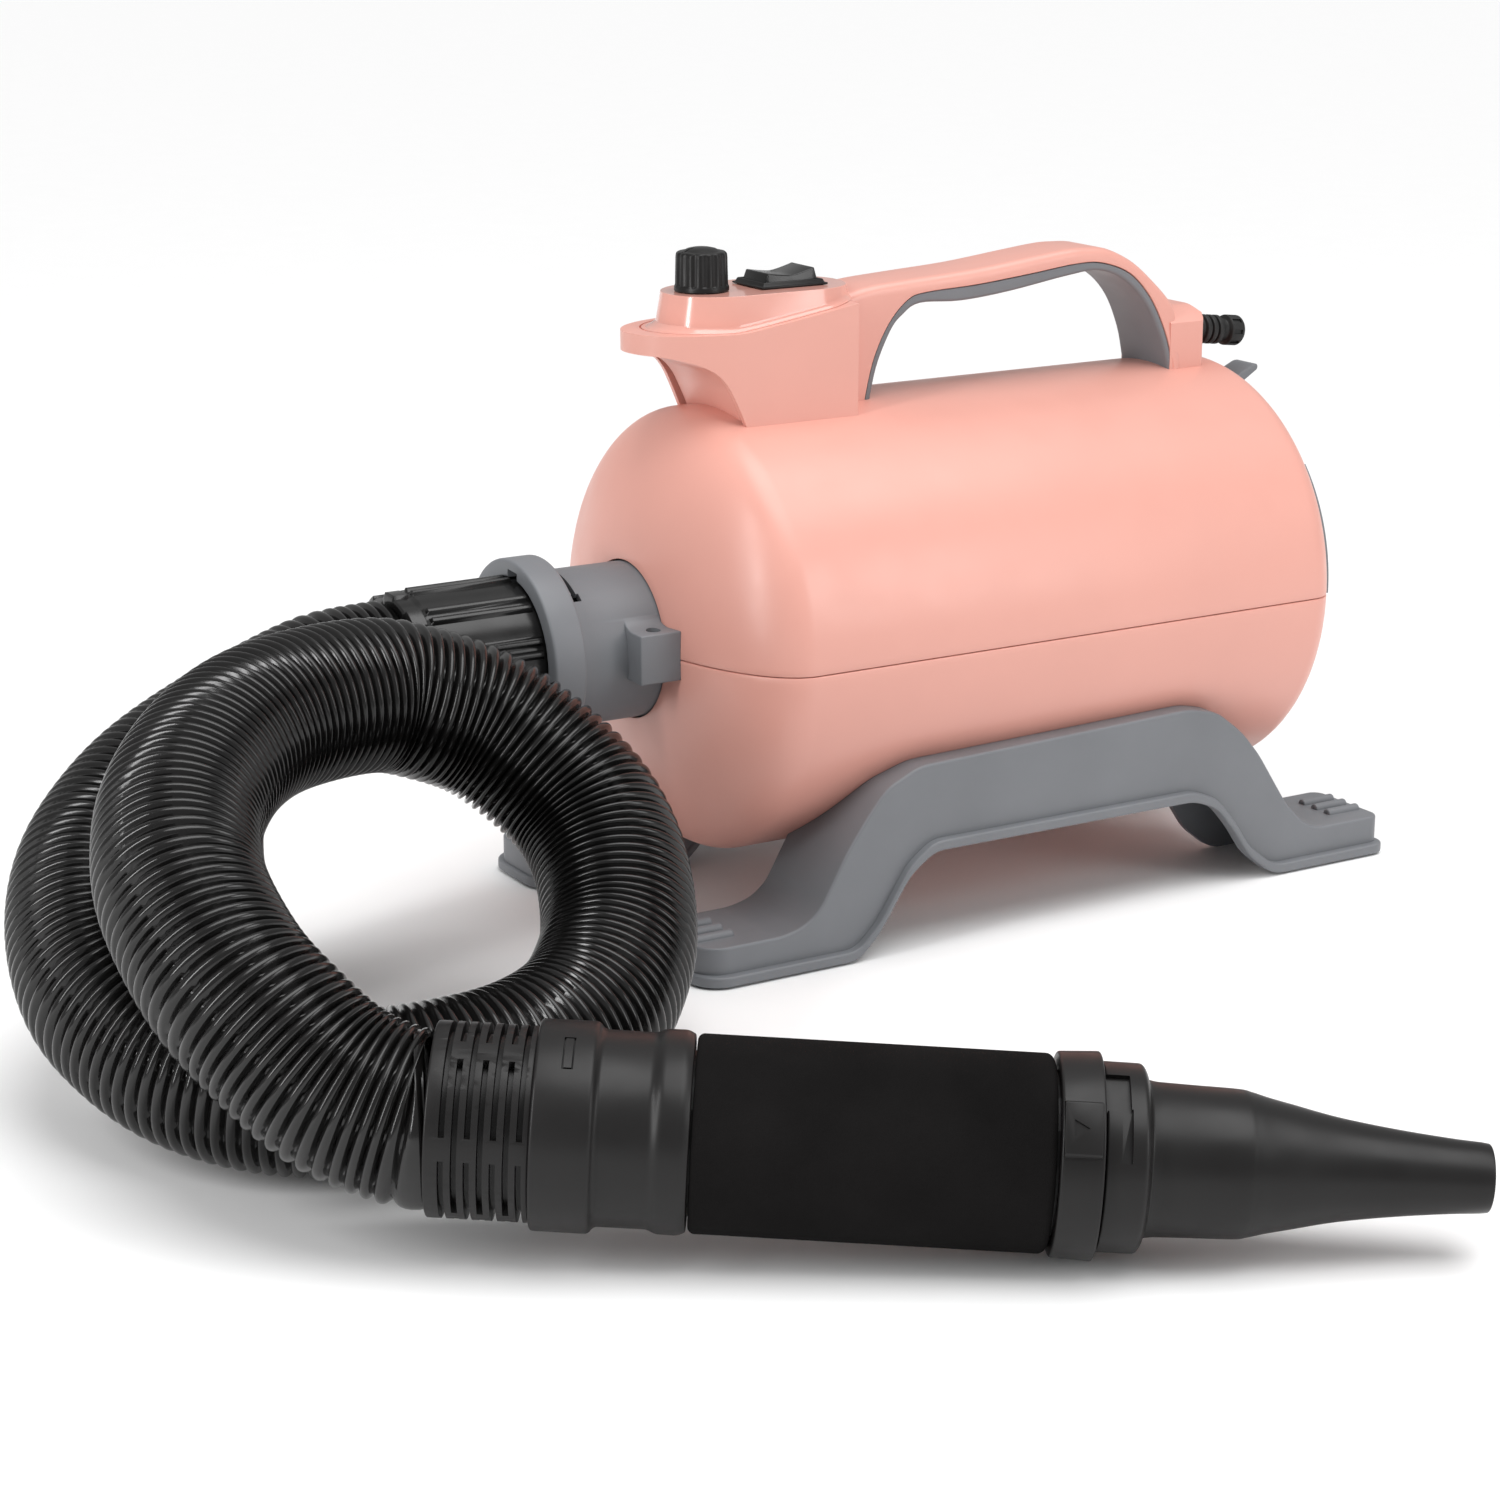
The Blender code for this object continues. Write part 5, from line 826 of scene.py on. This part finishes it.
# ---------------------------------------------------------------- stand
SKID_TOP = [(-0.180, 0.0170), (-0.1420, 0.0170), (-0.1319, 0.0195), (-0.1245, 0.0249), (-0.1112, 0.0479),
            (-0.1008, 0.0622), (-0.0919, 0.0727), (-0.0753, 0.0801), (0.0664, 0.0843), (0.0819, 0.0806),
            (0.0960, 0.0698), (0.1064, 0.0579), (0.1237, 0.0318), (0.1344, 0.0212), (0.1427, 0.0178),
            (0.180, 0.0178)]
SKID_LOW = [(0.180, SKID_BASE), (0.1180, SKID_BASE), (0.1120, 0.0030), (0.0998, 0.0125), (0.0912, 0.0253),
            (0.0809, 0.0374), (0.0680, 0.0425), (-0.0697, 0.0425), (-0.0817, 0.0339), (-0.0970, 0.0107),
            (-0.1075, SKID_BASE), (-0.180, SKID_BASE)]


def round_toes(bm, end, grow):
    """Round the toes' upright corners, the front ones more than the rear ones."""
    for side, radius in ((-1, 0.012 + grow), (1, 0.006 + grow)):
        chosen = []
        for edge in bm.edges:
            first, second = (vert.co for vert in edge.verts)
            upright = abs(first.x - second.x) < 1e-6 and abs(first.y - second.y) < 1e-6
            if upright and abs(first.x - side * end) < 1e-6:
                chosen.append(edge)
        bmesh.ops.bevel(bm, geom=chosen, offset=radius, segments=8, profile=0.5, affect="EDGES")
    return bm


def bend_corners(line, size):
    """Round an open line's inner corners."""
    ends = (0, len(line) - 1)
    closed = [(*point, 0.0 if index in ends else size) for index, point in enumerate(line)]
    return rounded(closed, 0.0, 5)


for name, side in (("stand_right", -1), ("stand_left", 1)):
    low_y, high_y = sorted((side * SKID_IN, side * SKID_OUT))
    upper, lower = bend_corners(SKID_TOP, 0.005), bend_corners(SKID_LOW, 0.005)
    skid = solid(name + "_skin", round_toes(prism(upper + lower, low_y, high_y), SKID_END, 0.0))
    soften(skid, 0.0012, 3, 50)
    lip_top = [(x, z + 0.0046) for x, z in reversed(lower)]
    lip_low = list(lower)
    for line in (lip_top, lip_low):
        for index in (0, -1):
            line[index] = (math.copysign(SKID_END + 0.0016, line[index][0]), line[index][1])
    lip_y = sorted((side * (SKID_IN - 0.0012), side * SKID_LIP))
    lip = solid("lip", round_toes(prism(lip_top + lip_low, *lip_y), SKID_END + 0.0016, 0.0015))
    soften(lip, 0.0010, 3, 50)
    combine(skid, lip, "UNION")
    tube = [(-0.21, 0.0), (-0.21, BODY_R + 0.0003), (0.21, BODY_R + 0.0003), (0.21, 0.0)]
    combine(skid, solid("saddle", lathe(tube, 150), BODY))
    middle = side * (SKID_IN + SKID_OUT) / 2
    for end, top in ((-1, SKID_TOP[0][1]), (1, SKID_TOP[-1][1])):
        for rib in (-1, 0, 1):
            line = rounded([(end * 0.1590, 0.0), (end * 0.1590, 0.0024), (end * 0.1772, 0.0024),
                            (end * 0.1772, 0.0)], 0.0009, 3)
            line = [(x, max(r, 0.0)) for x, r in line]
            place = Matrix.Translation((0, middle + rib * 0.0088, top))
            combine(skid, solid("rib", lathe(line, 24), place @ ALONG_X), "UNION")
    hollow_top = [(x, z - 0.003) for x, z in upper]
    hollow_low = [(x, z - 0.004) for x, z in lower]
    for line in (hollow_top, hollow_low):
        for index in (0, -1):
            line[index] = (math.copysign(SKID_END - 0.003, line[index][0]), line[index][1])
    hollow_y = sorted((side * (SKID_IN + 0.003), side * (SKID_OUT - 0.003)))
    hollow = solid("hollow", round_toes(prism(hollow_top + hollow_low, *hollow_y), SKID_END - 0.003, -0.003))
    tube = [(-0.2, 0.0), (-0.2, BODY_R + 0.0033), (0.2, BODY_R + 0.0033), (0.2, 0.0)]
    combine(hollow, solid("web", lathe(tube, 128), BODY))
    for x in (-0.163, 0.163):
        post = lathe([(-0.01, 0.0), (-0.01, 0.0085), (0.016, 0.0085), (0.016, 0.0)], 32)
        combine(hollow, solid("post", post, Matrix.Translation((x, middle, 0))))
    combine(skid, hollow)
    for x in (-0.163, 0.163):
        seat = lathe([(-0.01, 0.0), (-0.01, 0.0066), (0.0038, 0.0066), (0.0038, 0.0)], 32)
        combine(skid, solid("pad_seat", seat, Matrix.Translation((x, middle, 0))))
    show(skid, "grey_trim", "chassis", name, smooth=38, flat=True)

# ---------------------------------------------------------------- rear: filter cover, foam, grille
cover_line = [(0.1424, 0.0772), (0.1424, 0.0805), (0.1484, 0.0805), (0.1486, 0.0826, 0.0006),
              (0.1503, 0.0826, 0.0010),
              (0.1521, 0.0803, 0.0010), (0.1530, 0.0772, 0.0006)]
cover = solid("filter_cover_skin", lathe(rounded(cover_line, 0.0003, 4), 128), BODY)
rings = bmesh.new()
for low, high, x in ((0.0600, 0.0624, 0.1512), (0.0440, 0.0464, 0.1522), (0.0290, 0.0314, 0.1530)):
    line = rounded([(x, low), (x, high), (x + 0.0030, high), (x + 0.0030, low)], 0.0006, 3)
    join(rings, lathe(line, 96))
hub = rounded([(0.1520, 0.0), (0.1520, 0.0170), (0.1562, 0.0170, 0.0015), (0.1580, 0.0140, 0.0015),
               (0.1584, 0.0)], 0.0, 4)
join(rings, lathe([(x, max(r, 0.0)) for x, r in hub], 64))
spokes = []
for arm in range(8):
    angle = 2 * math.pi * arm / 8
    ahead, aside = Vector((math.cos(angle), math.sin(angle))), Vector((-math.sin(angle), math.cos(angle)))
    for reach, wide in ((0.0100, -0.0024), (0.0790, -0.0017), (0.0790, 0.0017), (0.0100, 0.0024)):
        spokes.append(tuple(ahead * reach + aside * wide))
spoke_piece = solid("spokes", prism(spokes, 0.1512, 0.1546, "YZ"), Matrix.Translation((0, 0, BODY_Z)))
combine(spoke_piece, solid("rings", rings, BODY), "UNION")
combine(cover, spoke_piece, "UNION")
for half_turn in (0, 180):
    line = [(0.1494, 0.0780), (0.1494, 0.0822), (0.1545, 0.0846), (0.1655, 0.0897), (0.1685, 0.0897),
            (0.1685, 0.0872), (0.1620, 0.0832), (0.1530, 0.0780)]
    wedge = solid("wedge", prism(rounded(line, 0.0010), -0.0075, 0.0075),
                  Matrix.Translation((0, 0, BODY_Z)) @ Matrix.Rotation(math.radians(half_turn), 4, "X"))
    soften(wedge, 0.0008, 2, 50)
    combine(cover, wedge, "UNION")
    line = rounded([(0.1488, 0.0790), (0.1488, 0.0840), (0.1513, 0.0840), (0.1518, 0.0790)], 0.0006, 3)
    ramp = lathe(line, 18, 140 + half_turn, 41)
    combine(cover, solid("ramp", ramp, BODY), "UNION")
show(cover, "grey_trim", "cover", "filter_cover", smooth=40)

foam_line = rounded([(0.1330, 0.0), (0.1330, 0.0758), (0.1415, 0.0758), (0.1415, 0.0)], 0.0008, 3)
filter_pad = solid("filter_foam_skin", lathe([(x, max(r, 0.0)) for x, r in foam_line], 96), BODY)
show(filter_pad, "filter_foam", "chassis", "filter_foam", smooth=45)

# ---------------------------------------------------------------- CAD nodes that show as they are
for name, node in frame["nodes"].items():
    entry = next(part for part in frame["record"]["subparts"] if part["node"] == name)
    for index in range(max(1, len(node.material_slots))):
        if node.material_slots:
            node.material_slots[index].material = LOOKS[entry["material_slot"]]

# ---------------------------------------------------------------- floor and light
floor_mesh = bmesh.new()
bmesh.ops.create_grid(floor_mesh, x_segments=1, y_segments=1, size=15.0)
floor = solid("floor", floor_mesh)
floor.data.materials.append(look("floor_paper", (0.93, 0.93, 0.93), 0.75, vary=0.004, grain=300, bump=0.02))


def lamp(name, place, aim, size, power, tall=None):
    data = bpy.data.lights.new(name, "AREA")
    data.shape = "RECTANGLE"
    data.size = size
    data.size_y = tall or size
    data.energy = power
    light = bpy.data.objects.new(name, data)
    light.location = ORIGIN + Vector(place)
    light.rotation_euler = (Vector(place) - Vector(aim)).to_track_quat("Z", "Y").to_euler()
    bpy.context.scene.collection.objects.link(light)


lamp("overhead", (-0.05, 0.10, 1.20), (0.0, 0.0, 0.1), 1.1, 0.8, 0.7)
lamp("left_window", (-1.35, -0.35, 0.70), (0.0, 0.0, 0.12), 0.16, 9, 1.1)
lamp("right_window", (0.75, -1.45, 0.75), (0.0, 0.0, 0.12), 0.5, 6, 0.9)
sky = bpy.data.lights.new("sky", "SUN")
sky.energy = 2.1
sky.angle = math.radians(50)
sky_light = bpy.data.objects.new("sky", sky)
sky_light.rotation_euler = (math.radians(12), math.radians(10), 0)
bpy.context.scene.collection.objects.link(sky_light)
world = bpy.data.worlds.new("studio")
world.use_nodes = True
world.node_tree.nodes["Background"].inputs["Color"].default_value = (1.0, 1.0, 1.0, 1.0)
world.node_tree.nodes["Background"].inputs["Strength"].default_value = 0.44
bpy.context.scene.world = world
bpy.context.scene.view_settings.view_transform = "Standard"
